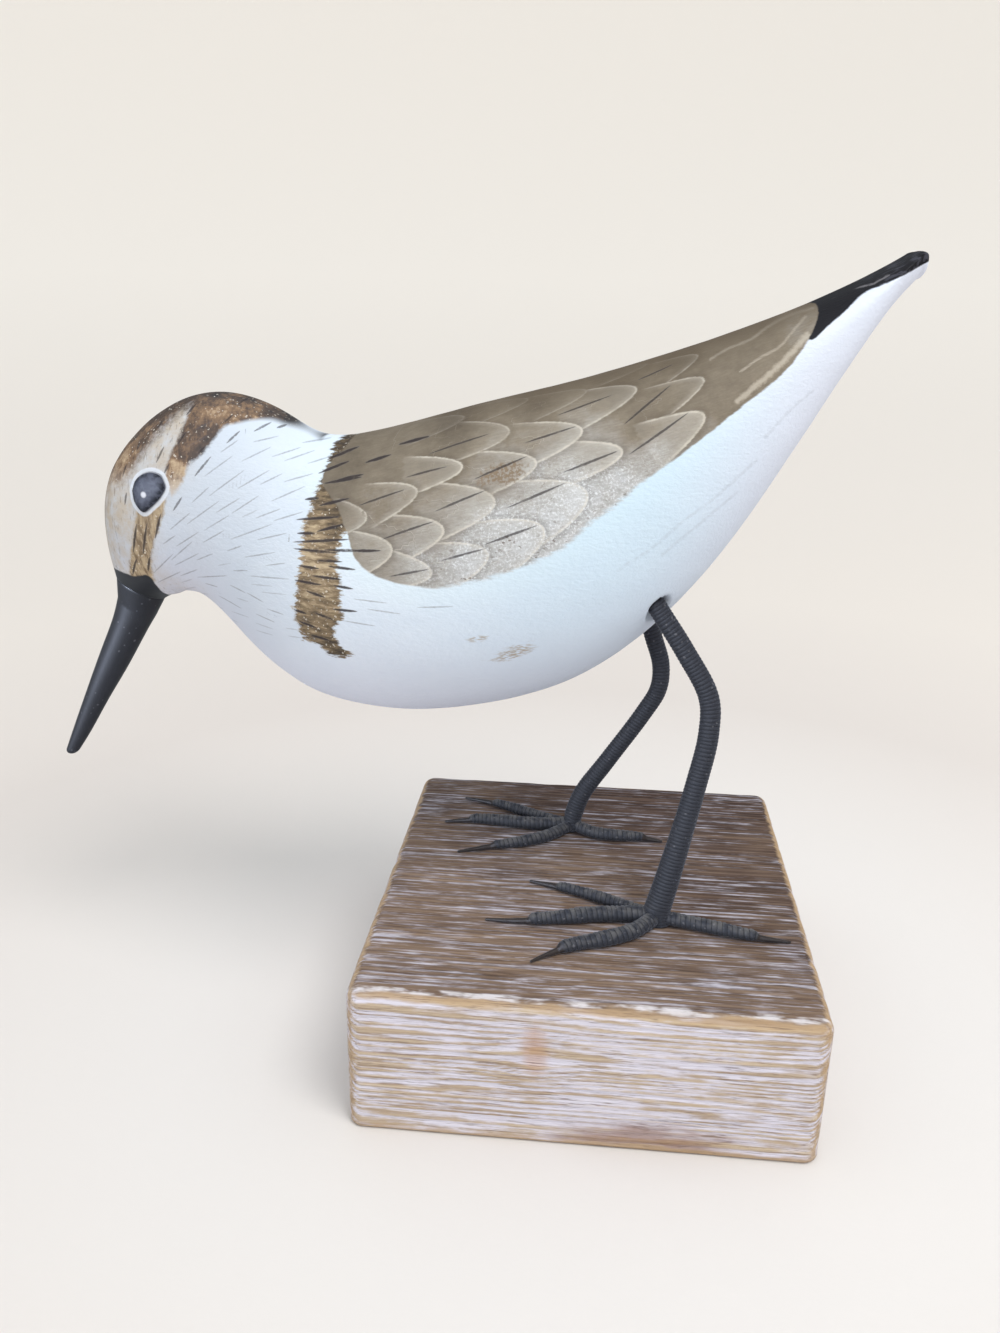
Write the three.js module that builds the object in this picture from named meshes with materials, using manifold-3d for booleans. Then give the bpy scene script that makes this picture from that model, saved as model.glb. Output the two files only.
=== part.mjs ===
import * as THREE from 'three';
import { mergeVertices } from 'three/addons/utils/BufferGeometryUtils.js';
import Module from 'manifold-3d';

// A carved and painted shorebird on wire legs bound with thread, standing on a block of wood.
// Millimetres, +Z up. The origin is the middle of the block's underside.
// The bird looks towards -X, and its left side faces -Y.

// The block
const plinthLength = 90;
const plinthDepth = 96;
const plinthHeight = 31;
const plinthCornerRadius = 3.2;
const plinthTopRound = 2.6;
const plinthBottomRound = 1;

// The carved bird. Its outline was drawn for a carving of drawnLength, breast to tail tip.
const birdLength = 160;
const drawnLength = 160;
const birdPlaneY = 3;
const tailEndRound = 1.3;

// The bill
const billStep = 0.4;
const billTipRound = 1.6;

// The eyes
const eyeLength = 6.7;
const eyeHeight = 7.8;
const eyeBulge = 1.3;
const eyeLean = 8;

// Legs and toes of wire wound with thread
const legHoleDepth = 7;
const toeTaper = 0.78;
const clawDiameter = 1.2;
const clawTipDiameter = 0.4;

// Clearances
const jointClearance = 0.3;
const standClearance = 0.1;

const wasm = await Module();
wasm.setup();

const plinthTop = plinthHeight;
const standLevel = plinthTop + standClearance;
const birdScale = birdLength / drawnLength;

// The bird is drawn in its middle plane: x along the block, h above the block's top.
// It grows and shrinks about the place where its legs enter it.
const hip = { x: 9, h: 65.5 };

function inPlane(x, h) {
  return new THREE.Vector2(hip.x + (x - hip.x) * birdScale, plinthTop + hip.h + (h - hip.h) * birdScale);
}

// Each station of the carving gives the point on its back, the point on its belly, and half its width.
// The first is the flat cut that carries the bill, and the last is the tip of the tail.
const carvingStations = [
  { back: [-103.8, 64.9], belly: [-93.5, 59.5], half: 5.4 },
  { back: [-104, 73], belly: [-91.5, 60.5], half: 9 },
  { back: [-102.7, 83.5], belly: [-89.5, 61], half: 12.5 },
  { back: [-98.5, 91.7], belly: [-88, 61.7], half: 14.5 },
  { back: [-90.7, 99], belly: [-86.3, 61.7], half: 15.5 },
  { back: [-79.5, 103], belly: [-83, 60.7], half: 16 },
  { back: [-68.3, 100.5], belly: [-78.5, 56.5], half: 16.5 },
  { back: [-61.3, 96.5], belly: [-73.7, 51.5], half: 18.5 },
  { back: [-54, 95], belly: [-67.5, 46.3], half: 21.5 },
  { back: [-41.7, 97.5], belly: [-57.5, 41], half: 25.5 },
  { back: [-26.7, 101.7], belly: [-42, 38.7], half: 28 },
  { back: [-11.7, 105.7], belly: [-25.5, 40.3], half: 28 },
  { back: [3.3, 110], belly: [-7.5, 46], half: 26.5 },
  { back: [18.3, 115], belly: [7.5, 56.3], half: 23 },
  { back: [31.5, 120], belly: [20.5, 71], half: 18.5 },
  { back: [43.5, 125.3], belly: [33.3, 92.3], half: 14 },
  { back: [51, 129.2], belly: [45, 115], half: 9.8 },
  { back: [54.6, 130.7], belly: [54.4, 127.2], half: 5.8 },
];

// The same for the bill, from its tip up to its root on the head.
const billStations = [
  { back: [-120.1, 23.1], belly: [-117.2, 22.8], half: 1.45 },
  { back: [-117.1, 29.9], belly: [-113.8, 27.8], half: 2 },
  { back: [-112.9, 39.2], belly: [-109, 35.5], half: 2.6 },
  { back: [-108.9, 47.9], belly: [-104, 43.1], half: 3.1 },
  { back: [-105.7, 54.7], belly: [-99.3, 50.8], half: 3.6 },
  { back: [-103.9, 59.9], belly: [-96.4, 55.3], half: 4 },
];

// The tail is flat above, with a crisp edge along each side, and it narrows to a keel below.
// From tailStart to tailFull the body's round section turns into that one.
const tailStart = 12;
const tailFull = 16;

// Each leg goes from its hole in the belly over the knee to the block: x, distance out from the
// bird's middle plane, and height above the block. A toe has its length, the direction it points,
// in degrees from straight ahead and positive outwards, how far it bows and sways outwards, its
// thickness, and the length of its bare claw.
const legs = [
  {
    name: 'left', side: -1, topDiameter: 3.7, footDiameter: 5,
    path: [
      [10.6, 15.3, 65.6], [16.1, 16, 57.6], [21.2, 16.8, 48.7], [21.7, 17.4, 41.5],
      [20, 18.2, 30.8], [15.7, 19.8, 10.5], [14, 20.3, 0],
    ],
    toes: {
      middle: { length: 35.5, turn: 6, bow: 0.5, sway: -0.7, diameter: 3.2, claw: 9 },
      hind: { length: 27, turn: 170, bow: -1, sway: 0.2, diameter: 2.8, claw: 6.5 },
      inner: { length: 30, turn: -25, bow: -0.6, sway: 0.1, diameter: 2.5, claw: 6.5 },
      outer: { length: 30.5, turn: 35, bow: 1.7, sway: 1.2, diameter: 3.2, claw: 6.5 },
    },
  },
  {
    name: 'right', side: 1, topDiameter: 3.9, footDiameter: 3.7,
    path: [
      [7.8, 14.9, 62.5], [11.5, 15.3, 51], [13.7, 15.7, 44], [13.5, 16.1, 38],
      [10.5, 16.5, 31.8], [2.9, 17.3, 19.2], [-2.7, 17.9, 9.9], [-4.8, 18.4, 0],
    ],
    toes: {
      middle: { length: 31, turn: -1, bow: -0.3, sway: -0.8, diameter: 3, claw: 6 },
      hind: { length: 22, turn: -169, bow: 2.4, sway: 0.8, diameter: 2.8, claw: 4 },
      inner: { length: 30, turn: -30, bow: -3, sway: -0.7, diameter: 2.7, claw: 8 },
      outer: { length: 30.5, turn: 25, bow: 0, sway: -0.6, diameter: 2.6, claw: 8 },
    },
  },
];

// A smooth curve through evenly numbered values: the natural cubic spline.
function smoothThrough(values) {
  const last = values.length - 1;
  const bend = new Array(last + 1).fill(0);
  const share = new Array(last + 1).fill(0);
  for (let i = 1; i < last; i++) {
    const pull = 6 * (values[i - 1] - 2 * values[i] + values[i + 1]);
    const pivot = 4 - share[i - 1];
    share[i] = 1 / pivot;
    bend[i] = (pull - bend[i - 1]) / pivot;
  }
  for (let i = last - 1; i > 0; i--) bend[i] -= share[i] * bend[i + 1];
  return (at) => {
    const i = Math.min(Math.floor(at), last - 1);
    const u = at - i;
    const v = 1 - u;
    return values[i] * v + values[i + 1] * u + ((v ** 3 - v) * bend[i] + (u ** 3 - u) * bend[i + 1]) / 6;
  };
}

// A closed solid from rings of points, each ring with as many points as the next. Its ends are
// closed with fans, or with level faces where they lie level.
function solidFromRings(rings, levelEnds = false) {
  const around = rings[0].length;
  const positions = rings.flat().flatMap((p) => [p.x, p.y, p.z]);
  const lastRing = (rings.length - 1) * around;
  const index = [];
  for (let j = 0; j < around; j++) {
    const k = (j + 1) % around;
    for (let i = 0; i + 1 < rings.length; i++) {
      const a = i * around + j;
      const b = i * around + k;
      index.push(a, b, b + around, a, b + around, a + around);
    }
  }
  if (levelEnds) {
    const outline = rings[0].map((p) => new THREE.Vector2(p.x, p.y));
    for (const [a, b, c] of THREE.ShapeUtils.triangulateShape(outline, [])) {
      index.push(a, c, b, lastRing + a, lastRing + b, lastRing + c);
    }
  } else {
    const first = middleOf(rings[0]);
    const end = middleOf(rings[rings.length - 1]);
    const firstIndex = rings.length * around;
    positions.push(first.x, first.y, first.z, end.x, end.y, end.z);
    for (let j = 0; j < around; j++) {
      const k = (j + 1) % around;
      index.push(firstIndex, k, j, firstIndex + 1, lastRing + j, lastRing + k);
    }
  }
  const geometry = new THREE.BufferGeometry();
  geometry.setAttribute('position', new THREE.Float32BufferAttribute(positions, 3));
  geometry.setIndex(index);
  return geometry;
}

function middleOf(ring) {
  return ring.reduce((sum, p) => sum.add(p), new THREE.Vector3()).divideScalar(ring.length);
}

function toManifold(geometry) {
  const bare = geometry.clone();
  bare.deleteAttribute('normal');
  bare.deleteAttribute('uv');
  const merged = mergeVertices(bare, 1e-5);
  return new wasm.Manifold(new wasm.Mesh({
    numProp: 3,
    vertProperties: new Float32Array(merged.attributes.position.array),
    triVerts: new Uint32Array(merged.index.array),
  }));
}

function fromManifold(solid) {
  const mesh = solid.getMesh();
  const geometry = new THREE.BufferGeometry();
  geometry.setAttribute('position', new THREE.Float32BufferAttribute(mesh.vertProperties, 3));
  geometry.setIndex(Array.from(mesh.triVerts));
  geometry.computeVertexNormals();
  return geometry;
}

// The cross-sections of a carved form that runs through stations, such as the bird or its bill.
function carvedForm(stations, tailShare) {
  const rail = (side, axis) => smoothThrough(stations.map((s) => inPlane(...s[side])[axis]));
  const rails = {
    backX: rail('back', 'x'), backZ: rail('back', 'y'),
    bellyX: rail('belly', 'x'), bellyZ: rail('belly', 'y'),
    half: smoothThrough(stations.map((s) => s.half * birdScale)),
  };
  return (at, angle) => {
    const tail = tailShare(at);
    const waist = THREE.MathUtils.lerp(0.5, 0.78, tail);
    const upper = Math.cos(angle) >= 0;
    const power = upper ? THREE.MathUtils.lerp(2.15, 3.55, tail) : THREE.MathUtils.lerp(2.1, 2, tail);
    const bulge = (value) => Math.sign(value) * Math.abs(value) ** (2 / power);
    const rise = bulge(Math.cos(angle));
    const back = new THREE.Vector2(rails.backX(at), rails.backZ(at));
    const belly = new THREE.Vector2(rails.bellyX(at), rails.bellyZ(at));
    const level = belly.clone().lerp(back, waist);
    const reach = upper ? back.sub(level) : level.clone().sub(belly);
    return new THREE.Vector3(
      level.x + reach.x * rise,
      birdPlaneY + rails.half(at) * bulge(Math.sin(angle)),
      level.y + reach.y * rise,
    );
  };
}

function ringOf(form, at, sides) {
  return Array.from({ length: sides }, (_, j) => form(at, (-j / sides) * 2 * Math.PI));
}

// Rings that close a form with a rounded end, pushed out along the given direction.
function roundedEnd(ring, push, steps) {
  const middle = middleOf(ring);
  return Array.from({ length: steps }, (_, i) => {
    const turn = ((i + 1) / (steps + 0.6)) * (Math.PI / 2);
    const shift = push.clone().multiplyScalar(Math.sin(turn));
    return ring.map((p) => p.clone().sub(middle).multiplyScalar(Math.cos(turn)).add(middle).add(shift));
  });
}

function towards(from, to, distance) {
  return to.clone().sub(from).setLength(distance);
}

const centreOf = (form, at) => form(at, 0).add(form(at, Math.PI)).divideScalar(2);

// The bird's body, head and tail: one carving
const tailShare = (at) => THREE.MathUtils.smoothstep(at, tailStart, tailFull);
const carving = carvedForm(carvingStations, tailShare);

function carvingGeometry() {
  const sides = 40;
  const stepsPerStation = 3;
  const lastStation = carvingStations.length - 1;
  const rings = [];
  for (let i = 0; i <= lastStation * stepsPerStation; i++) {
    rings.push(ringOf(carving, i / stepsPerStation, sides));
  }
  const push = towards(centreOf(carving, lastStation - 1), centreOf(carving, lastStation), tailEndRound);
  rings.push(...roundedEnd(rings[rings.length - 1], push, 3));
  return solidFromRings(rings);
}

// The bill, set against the flat cut on the head
function billGeometry() {
  const sides = 20;
  const stepsPerStation = 2;
  const upCut = carving(0, 0).sub(carving(0, Math.PI));
  const facing = new THREE.Vector3(-upCut.z, 0, upCut.x).normalize();
  const middle = centreOf(carving, 0);
  const rootHalf = carvingStations[0].half * birdScale;
  const rootScale = 1 - billStep / rootHalf;
  const root = ringOf(carving, 0, sides);
  for (const p of root) {
    p.sub(middle).multiplyScalar(rootScale).add(middle).addScaledVector(facing, jointClearance);
  }
  const form = carvedForm(billStations, () => 0);
  const lastStation = billStations.length - 1;
  const rings = [];
  for (let i = 0; i <= lastStation * stepsPerStation; i++) {
    rings.push(ringOf(form, i / stepsPerStation, sides));
  }
  const push = towards(centreOf(form, 1), centreOf(form, 0), billTipRound);
  return solidFromRings([...roundedEnd(rings[0], push, 3).reverse(), ...rings, root]);
}

// An eye is an oval, domed bead, half sunk in the side of the head.
const eyeStation = 4;
const eyeAngle = THREE.MathUtils.degToRad(78);

function eyeGeometry(side, growth) {
  const angle = side * eyeAngle;
  const seat = carving(eyeStation, angle);
  const along = carving(eyeStation + 0.05, angle).sub(seat);
  const around = carving(eyeStation, angle + 0.02).sub(seat);
  const outward = around.cross(along).normalize();
  if (outward.y * side < 0) outward.negate();
  const lean = THREE.MathUtils.degToRad(eyeLean);
  const tall = new THREE.Vector3(Math.sin(lean), 0, Math.cos(lean)).projectOnPlane(outward).normalize();
  const bead = new THREE.SphereGeometry(1, 20, 12);
  bead.scale(eyeLength / 2 + growth, eyeBulge + growth, eyeHeight / 2 + growth);
  bead.applyMatrix4(new THREE.Matrix4().makeBasis(outward.clone().cross(tall), outward, tall));
  bead.translate(seat.x, seat.y, seat.z);
  return bead;
}

// A round wire through points, with its own radius at each point.
function wire(points, radii, sides) {
  const rings = [];
  const across = new THREE.Vector3(0, 1, 0);
  points.forEach((point, i) => {
    const before = points[Math.max(i - 1, 0)];
    const after = points[Math.min(i + 1, points.length - 1)];
    const along = after.clone().sub(before).normalize();
    across.addScaledVector(along, -across.dot(along)).normalize();
    const up = along.clone().cross(across);
    rings.push(Array.from({ length: sides }, (_, j) => {
      const turn = (j / sides) * 2 * Math.PI;
      return point.clone().addScaledVector(across, Math.cos(turn) * radii[i])
        .addScaledVector(up, Math.sin(turn) * radii[i]);
    }));
  });
  return solidFromRings(rings);
}

function legGeometry(leg, growth) {
  const steps = 30;
  const place = ([x, out, h]) => new THREE.Vector3(x, birdPlaneY + leg.side * out, standLevel + h);
  const outside = leg.path.map(place);
  const holeEnd = outside[0].clone().add(towards(outside[1], outside[0], legHoleDepth + growth));
  const foot = outside[outside.length - 1];
  const instep = foot.clone().setZ(foot.z + 3);
  const curve = new THREE.CatmullRomCurve3([holeEnd, ...outside.slice(0, -1), instep], false, 'centripetal');
  const points = [...curve.getSpacedPoints(steps), foot.clone().setZ(foot.z - growth)];
  const radii = points.map((p) => {
    const share = THREE.MathUtils.clamp((p.z - foot.z) / (outside[0].z - foot.z), 0, 1);
    return THREE.MathUtils.lerp(leg.footDiameter, leg.topDiameter, Math.sqrt(share)) / 2 + growth;
  });
  return wire(points, radii, 12);
}

function toeGeometry(leg, toe, growth) {
  const foot = leg.path[leg.path.length - 1];
  const ankle = new THREE.Vector3(foot[0], birdPlaneY + leg.side * foot[1], 0);
  const turn = THREE.MathUtils.degToRad(toe.turn);
  const ahead = new THREE.Vector3(-Math.cos(turn), leg.side * Math.sin(turn), 0);
  const sideways = new THREE.Vector3(Math.sin(turn), leg.side * Math.cos(turn), 0);
  const start = leg.footDiameter * 0.3;
  const woundEnd = toe.length - toe.claw;
  const steps = 9;
  const distances = [];
  for (let i = 0; i <= steps; i++) distances.push(THREE.MathUtils.lerp(start, woundEnd, i / steps));
  distances.push(woundEnd + 0.4, (woundEnd + toe.length) / 2, toe.length + growth);
  const radiusAt = (distance) => {
    if (distance <= woundEnd) {
      const share = THREE.MathUtils.smoothstep(distance, woundEnd / 2, woundEnd);
      return (toe.diameter * THREE.MathUtils.lerp(1, toeTaper, share)) / 2;
    }
    return THREE.MathUtils.lerp(clawDiameter, clawTipDiameter, (distance - woundEnd) / toe.claw) / 2;
  };
  const radii = distances.map(radiusAt);
  const points = distances.map((distance, i) => {
    const along = (Math.PI * distance) / toe.length;
    return ankle.clone()
      .addScaledVector(ahead, distance)
      .addScaledVector(sideways, toe.bow * Math.sin(along) + toe.sway * Math.sin(2 * along))
      .setZ(standLevel + radii[i]);
  });
  return wire(points, radii.map((r) => r + growth), 10);
}

// The block's outline, drawn in from its sides by an inset, at a height
function plinthRing(inset, height) {
  const radius = plinthCornerRadius - inset;
  const x = plinthLength / 2 - plinthCornerRadius;
  const y = plinthDepth / 2 - plinthCornerRadius;
  const outline = new THREE.Path();
  outline.absarc(x, y, radius, 0, Math.PI / 2);
  outline.absarc(-x, y, radius, Math.PI / 2, Math.PI);
  outline.absarc(-x, -y, radius, Math.PI, Math.PI * 1.5);
  outline.absarc(x, -y, radius, Math.PI * 1.5, Math.PI * 2);
  return outline.getPoints(8).map((p) => new THREE.Vector3(p.x, p.y, height));
}

// The block is built up from its underside, with its edges rounded below and above.
function plinthGeometry() {
  const steps = 5;
  const rings = [];
  for (let i = 0; i <= steps; i++) {
    const turn = (i / steps) * (Math.PI / 2);
    const inset = plinthBottomRound * (1 - Math.sin(turn));
    rings.push(plinthRing(inset, plinthBottomRound * (1 - Math.cos(turn))));
  }
  for (let i = 0; i <= steps; i++) {
    const turn = (i / steps) * (Math.PI / 2);
    const inset = plinthTopRound * (1 - Math.cos(turn));
    rings.push(plinthRing(inset, plinthHeight - plinthTopRound * (1 - Math.sin(turn))));
  }
  return solidFromRings(rings, true);
}

const finishes = {
  plinth: { color: 0x9c8876, roughness: 0.85 },
  body: { color: 0xdfe4ee, roughness: 0.6 },
  bill: { color: 0x26282e, roughness: 0.4 },
  eye: { color: 0x4a4f5c, roughness: 0.35 },
  thread: { color: 0x34373e, roughness: 0.75 },
};

const model = new THREE.Group();

function addPiece(name, geometry, finish) {
  const material = new THREE.MeshStandardMaterial({ metalness: 0, ...finishes[finish] });
  const mesh = new THREE.Mesh(geometry, material);
  mesh.name = name;
  model.add(mesh);
}

addPiece('plinth', plinthGeometry(), 'plinth');

// The body gives way to the legs' upper ends and to the eyes.
let body = toManifold(carvingGeometry());
for (const leg of legs) {
  body = body.subtract(toManifold(legGeometry(leg, jointClearance)));
  body = body.subtract(toManifold(eyeGeometry(leg.side, jointClearance)));
}
addPiece('body', fromManifold(body), 'body');
addPiece('bill', billGeometry(), 'bill');

for (const leg of legs) {
  addPiece(`${leg.name}_eye`, fromManifold(toManifold(eyeGeometry(leg.side, 0))), 'eye');
  addPiece(`${leg.name}_leg`, fromManifold(toManifold(legGeometry(leg, 0))), 'thread');

  // Each toe is trimmed where it meets the leg and the toes laid before it.
  let taken = toManifold(legGeometry(leg, jointClearance));
  for (const [toeName, toe] of Object.entries(leg.toes)) {
    const trimmed = toManifold(toeGeometry(leg, toe, 0)).subtract(taken);
    taken = taken.add(toManifold(toeGeometry(leg, toe, jointClearance)));
    addPiece(`${leg.name}_${toeName}_toe`, fromManifold(trimmed), 'thread');
  }
}

export default model;
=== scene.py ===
# %% [markdown]
# # A carved shorebird on its stand
# The object is a small wading bird, carved from wood and painted, with its bill lowered. It stands
# on two wire legs bound with black thread, on a wire-brushed and limewashed block. The solids that
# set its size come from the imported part. This lesson builds the surfaces that are seen: a fine mesh
# for each piece and a procedural finish for each mesh.

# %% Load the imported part
import math

import bmesh
import bpy
import numpy as np
from mathutils import Matrix, Vector, noise


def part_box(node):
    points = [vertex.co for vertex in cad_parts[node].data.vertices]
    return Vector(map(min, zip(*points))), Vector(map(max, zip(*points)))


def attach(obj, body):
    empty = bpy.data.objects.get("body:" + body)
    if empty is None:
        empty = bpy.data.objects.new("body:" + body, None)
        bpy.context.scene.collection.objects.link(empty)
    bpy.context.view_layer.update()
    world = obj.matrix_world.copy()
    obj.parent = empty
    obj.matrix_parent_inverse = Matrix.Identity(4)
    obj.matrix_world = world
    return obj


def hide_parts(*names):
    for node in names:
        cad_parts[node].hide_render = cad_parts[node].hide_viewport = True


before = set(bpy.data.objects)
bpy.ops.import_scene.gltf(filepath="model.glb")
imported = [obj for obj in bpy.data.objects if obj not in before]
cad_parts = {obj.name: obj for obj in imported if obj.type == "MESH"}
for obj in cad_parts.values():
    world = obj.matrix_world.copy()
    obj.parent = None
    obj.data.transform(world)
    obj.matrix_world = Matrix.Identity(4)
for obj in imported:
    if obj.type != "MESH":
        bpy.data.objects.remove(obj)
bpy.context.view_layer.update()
print("nodes:", sorted(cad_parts))

# %% [markdown]
# ## Measures
# The work is laid out in millimetres and turned into metres only when a mesh is made, so that the
# numbers read like those of a workshop drawing. Heights of the bird are taken above the block's top.

# %% Measures shared by several pieces
MM = 0.001
BLOCK_LENGTH, BLOCK_DEPTH, BLOCK_HEIGHT = 90.0, 96.0, 31.0
BIRD_PLANE = 3.0
STAND_LEVEL = 31.1
print("block:", BLOCK_LENGTH, "x", BLOCK_DEPTH, "x", BLOCK_HEIGHT, "mm")

# %% [markdown]
# ## Camera
# The photograph looks down on the bird's left side from close by. Its place and lens were solved
# from the outline of the block. A camera can be aimed with a tracking constraint, but building its
# matrix from yaw, pitch and roll keeps the slight tilt of the hand that held it.

# %% Camera at the photograph's place
IMAGE_HEIGHT = 1333
FOCAL_PIXELS = 1070.48
CAMERA_PLACE = (-1.646, -211.604, 153.355)
YAW, PITCH, ROLL = 0.0910, 0.3352, 0.0162

ahead = Vector((-math.sin(YAW) * math.cos(PITCH), math.cos(YAW) * math.cos(PITCH), -math.sin(PITCH)))
level_right = Vector((math.cos(YAW), math.sin(YAW), 0))
level_up = level_right.cross(ahead)
right = level_right * math.cos(ROLL) + level_up * math.sin(ROLL)
up = level_up * math.cos(ROLL) - level_right * math.sin(ROLL)

lens = bpy.data.cameras.new("camera")
lens.sensor_fit = "VERTICAL"
lens.sensor_height = 36.0
lens.lens = FOCAL_PIXELS / IMAGE_HEIGHT * lens.sensor_height
lens.clip_start = 0.01
camera = bpy.data.objects.new("camera", lens)
bpy.context.scene.collection.objects.link(camera)
turn = Matrix((right, up, -ahead)).transposed().to_4x4()
camera.matrix_world = Matrix.Translation(Vector(CAMERA_PLACE) * MM) @ turn
bpy.context.scene.camera = camera
print("lens:", round(lens.lens, 2), "mm")

# %% [markdown]
# ## Helpers for materials
# A material is a small tree of nodes. Writing each node out by hand takes many lines, so a bench
# object puts nodes down and wires them: anything given to it may be a number, a colour or the
# output of another node.

# %% A bench that lays out nodes


def paint(red, green, blue):
    """A colour read as 0 to 255 on a screen, as the shader's linear value."""
    share = [v / 255 for v in (red, green, blue)]
    return [v / 12.92 if v <= 0.04045 else ((v + 0.055) / 1.055) ** 2.4 for v in share] + [1.0]


class Bench:
    def __init__(self, tree):
        self.tree = tree

    def join(self, value, socket):
        """Gives a socket a plain value or the output of another node."""
        if isinstance(value, bpy.types.NodeSocket):
            self.tree.links.new(value, socket)
        else:
            socket.default_value = value

    def put(self, kind, inputs=(), output=0, **settings):
        node = self.tree.nodes.new(kind)
        for name, value in settings.items():
            setattr(node, name, value)
        for key, value in dict(inputs).items():
            self.join(value, node.inputs[key])
        return node.outputs[output]

    def math(self, action, first, second=0.0):
        return self.put("ShaderNodeMath", {0: first, 1: second}, operation=action)

    def add(self, first, second):
        return self.math("ADD", first, second)

    def times(self, first, second):
        return self.math("MULTIPLY", first, second)

    def about_zero(self, value):
        """Noise from 0 to 1, moved down so that it swings about zero."""
        return self.math("SUBTRACT", value, 0.5)

    def rise(self, value, low, high, start=0.0, end=1.0):
        """Goes smoothly from start to end while value goes from low to high."""
        inputs = {0: value, 1: low, 2: high, 3: start, 4: end}
        return self.put("ShaderNodeMapRange", inputs, interpolation_type="SMOOTHSTEP")

    def mix(self, share, first, second):
        inputs = {0: share, 6: first, 7: second}
        return self.put("ShaderNodeMix", inputs, 2, data_type="RGBA", clamp_factor=True)

    def field(self, name, output=2):
        """A value stored on the mesh: output 2 is a number and 1 a vector."""
        return self.put("ShaderNodeAttribute", output=output, attribute_name=name)

    def parts(self, vector):
        node = self.tree.nodes.new("ShaderNodeSeparateXYZ")
        self.join(vector, node.inputs[0])
        return node.outputs[0], node.outputs[1], node.outputs[2]

    def place(self, scale=(1000.0, 1000.0, 1000.0)):
        """Where a point of the surface is, in millimetres times the given stretch."""
        at = self.put("ShaderNodeTexCoord", output=3)
        return self.stretch(at, scale)

    def stretch(self, vector, scale):
        return self.put("ShaderNodeVectorMath", {0: vector, 1: scale}, operation="MULTIPLY")

    def clouds(self, vector, scale, detail=2.0, roughness=0.5, distortion=0.0):
        inputs = {"Vector": vector, "Scale": scale, "Detail": detail, "Roughness": roughness,
                  "Distortion": distortion}
        return self.put("ShaderNodeTexNoise", inputs)

    def dots(self, vector, scale):
        return self.put("ShaderNodeTexVoronoi", {"Vector": vector, "Scale": scale})

    def bump(self, strength, distance, height):
        inputs = {"Strength": strength, "Distance": distance, "Height": height}
        return self.put("ShaderNodeBump", inputs)

    def ramp(self, value, stops):
        """A row of colours along a value."""
        node = self.tree.nodes.new("ShaderNodeValToRGB")
        self.join(value, node.inputs[0])
        slots = node.color_ramp.elements
        while len(slots) < len(stops):
            slots.new(0.5)
        for slot, (position, colour) in zip(slots, stops):
            slot.position = position
            slot.color = colour
        return node.outputs[0]

    def group(self, group, inputs=(), output=0):
        node = self.tree.nodes.new("ShaderNodeGroup")
        node.node_tree = group
        for key, value in dict(inputs).items():
            self.join(value, node.inputs[key])
        if isinstance(output, (int, str)):
            return node.outputs[output]
        return [node.outputs[name] for name in output]


print("the palest white of the paint:", [round(v, 3) for v in paint(226, 236, 246)])

# %% New materials and node groups


def new_material(name):
    material = bpy.data.materials.new(name)
    material.use_nodes = True
    bench = Bench(material.node_tree)
    shader = material.node_tree.nodes["Principled BSDF"]
    return material, bench, shader


def dress(bench, shader, colour, roughness, specular, relief):
    """Gives a shader what every finish here has."""
    bench.join(colour, shader.inputs["Base Color"])
    bench.join(roughness, shader.inputs["Roughness"])
    shader.inputs["Specular IOR Level"].default_value = specular
    bench.join(relief, shader.inputs["Normal"])


def new_group(name, inputs, outputs):
    """An effect with named sockets; each socket is (name, kind, default)."""
    group = bpy.data.node_groups.new(name, "ShaderNodeTree")
    for socket_name, kind, default in inputs:
        socket = group.interface.new_socket(name=socket_name, in_out="INPUT", socket_type=kind)
        if default is not None:
            socket.default_value = default
    for socket_name, kind in outputs:
        group.interface.new_socket(name=socket_name, in_out="OUTPUT", socket_type=kind)
    entry = group.nodes.new("NodeGroupInput")
    end = group.nodes.new("NodeGroupOutput")
    return group, Bench(group), entry.outputs, end.inputs


print("helpers:", new_material.__name__, dress.__name__, new_group.__name__)

# %% [markdown]
# ## Effects that several finishes share
# Paint on wood shows the marks of its brush, and old paint, thread and wood all carry small specks.
# Both are wanted on more than one material, so each is a node group with named sockets.

# %% Brush marks
brush_marks, bench, taken, given = new_group(
    "brush marks",
    [("Vector", "NodeSocketVector", None), ("Fineness", "NodeSocketFloat", 1.0)],
    [("Tone", "NodeSocketFloat"), ("Height", "NodeSocketFloat")],
)
broad = bench.clouds(taken["Vector"], 0.16, 3.0, 0.6, 0.4)
fine_vector = bench.put("ShaderNodeVectorMath", {0: taken["Vector"], "Scale": taken["Fineness"]},
                        operation="SCALE")
hairs = bench.clouds(fine_vector, 1.6, 3.0, 0.65)
bench.join(bench.add(bench.times(broad, 0.6), bench.times(hairs, 0.4)), given["Tone"])
bench.join(bench.add(bench.times(broad, 0.35), hairs), given["Height"])
print("group:", brush_marks.name)

# %% Specks
specks, bench, taken, given = new_group(
    "specks",
    [("Vector", "NodeSocketVector", None), ("Spacing", "NodeSocketFloat", 1.0),
     ("Amount", "NodeSocketFloat", 0.3)],
    [("Mask", "NodeSocketFloat")],
)
closer = bench.math("DIVIDE", 1.0, taken["Spacing"])
bent = bench.put("ShaderNodeVectorMath", {0: taken["Vector"], "Scale": closer}, operation="SCALE")
bends = bench.clouds(bent, 2.2, 1.0)
spot = bench.dots(bent, 1.0)
radius = bench.times(taken["Amount"], bench.rise(bends, 0.35, 0.65))
mask = bench.rise(bench.math("SUBTRACT", radius, spot), -0.02, 0.08)
bench.join(mask, given["Mask"])
print("group:", specks.name)

# %% [markdown]
# ## Studio
# The photograph has a plain warm white ground with no edge between floor and wall. A flat plane
# would show a horizon, so the ground is a wide dish: level round the object and steepening slowly
# with distance, the same from every side.

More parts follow.
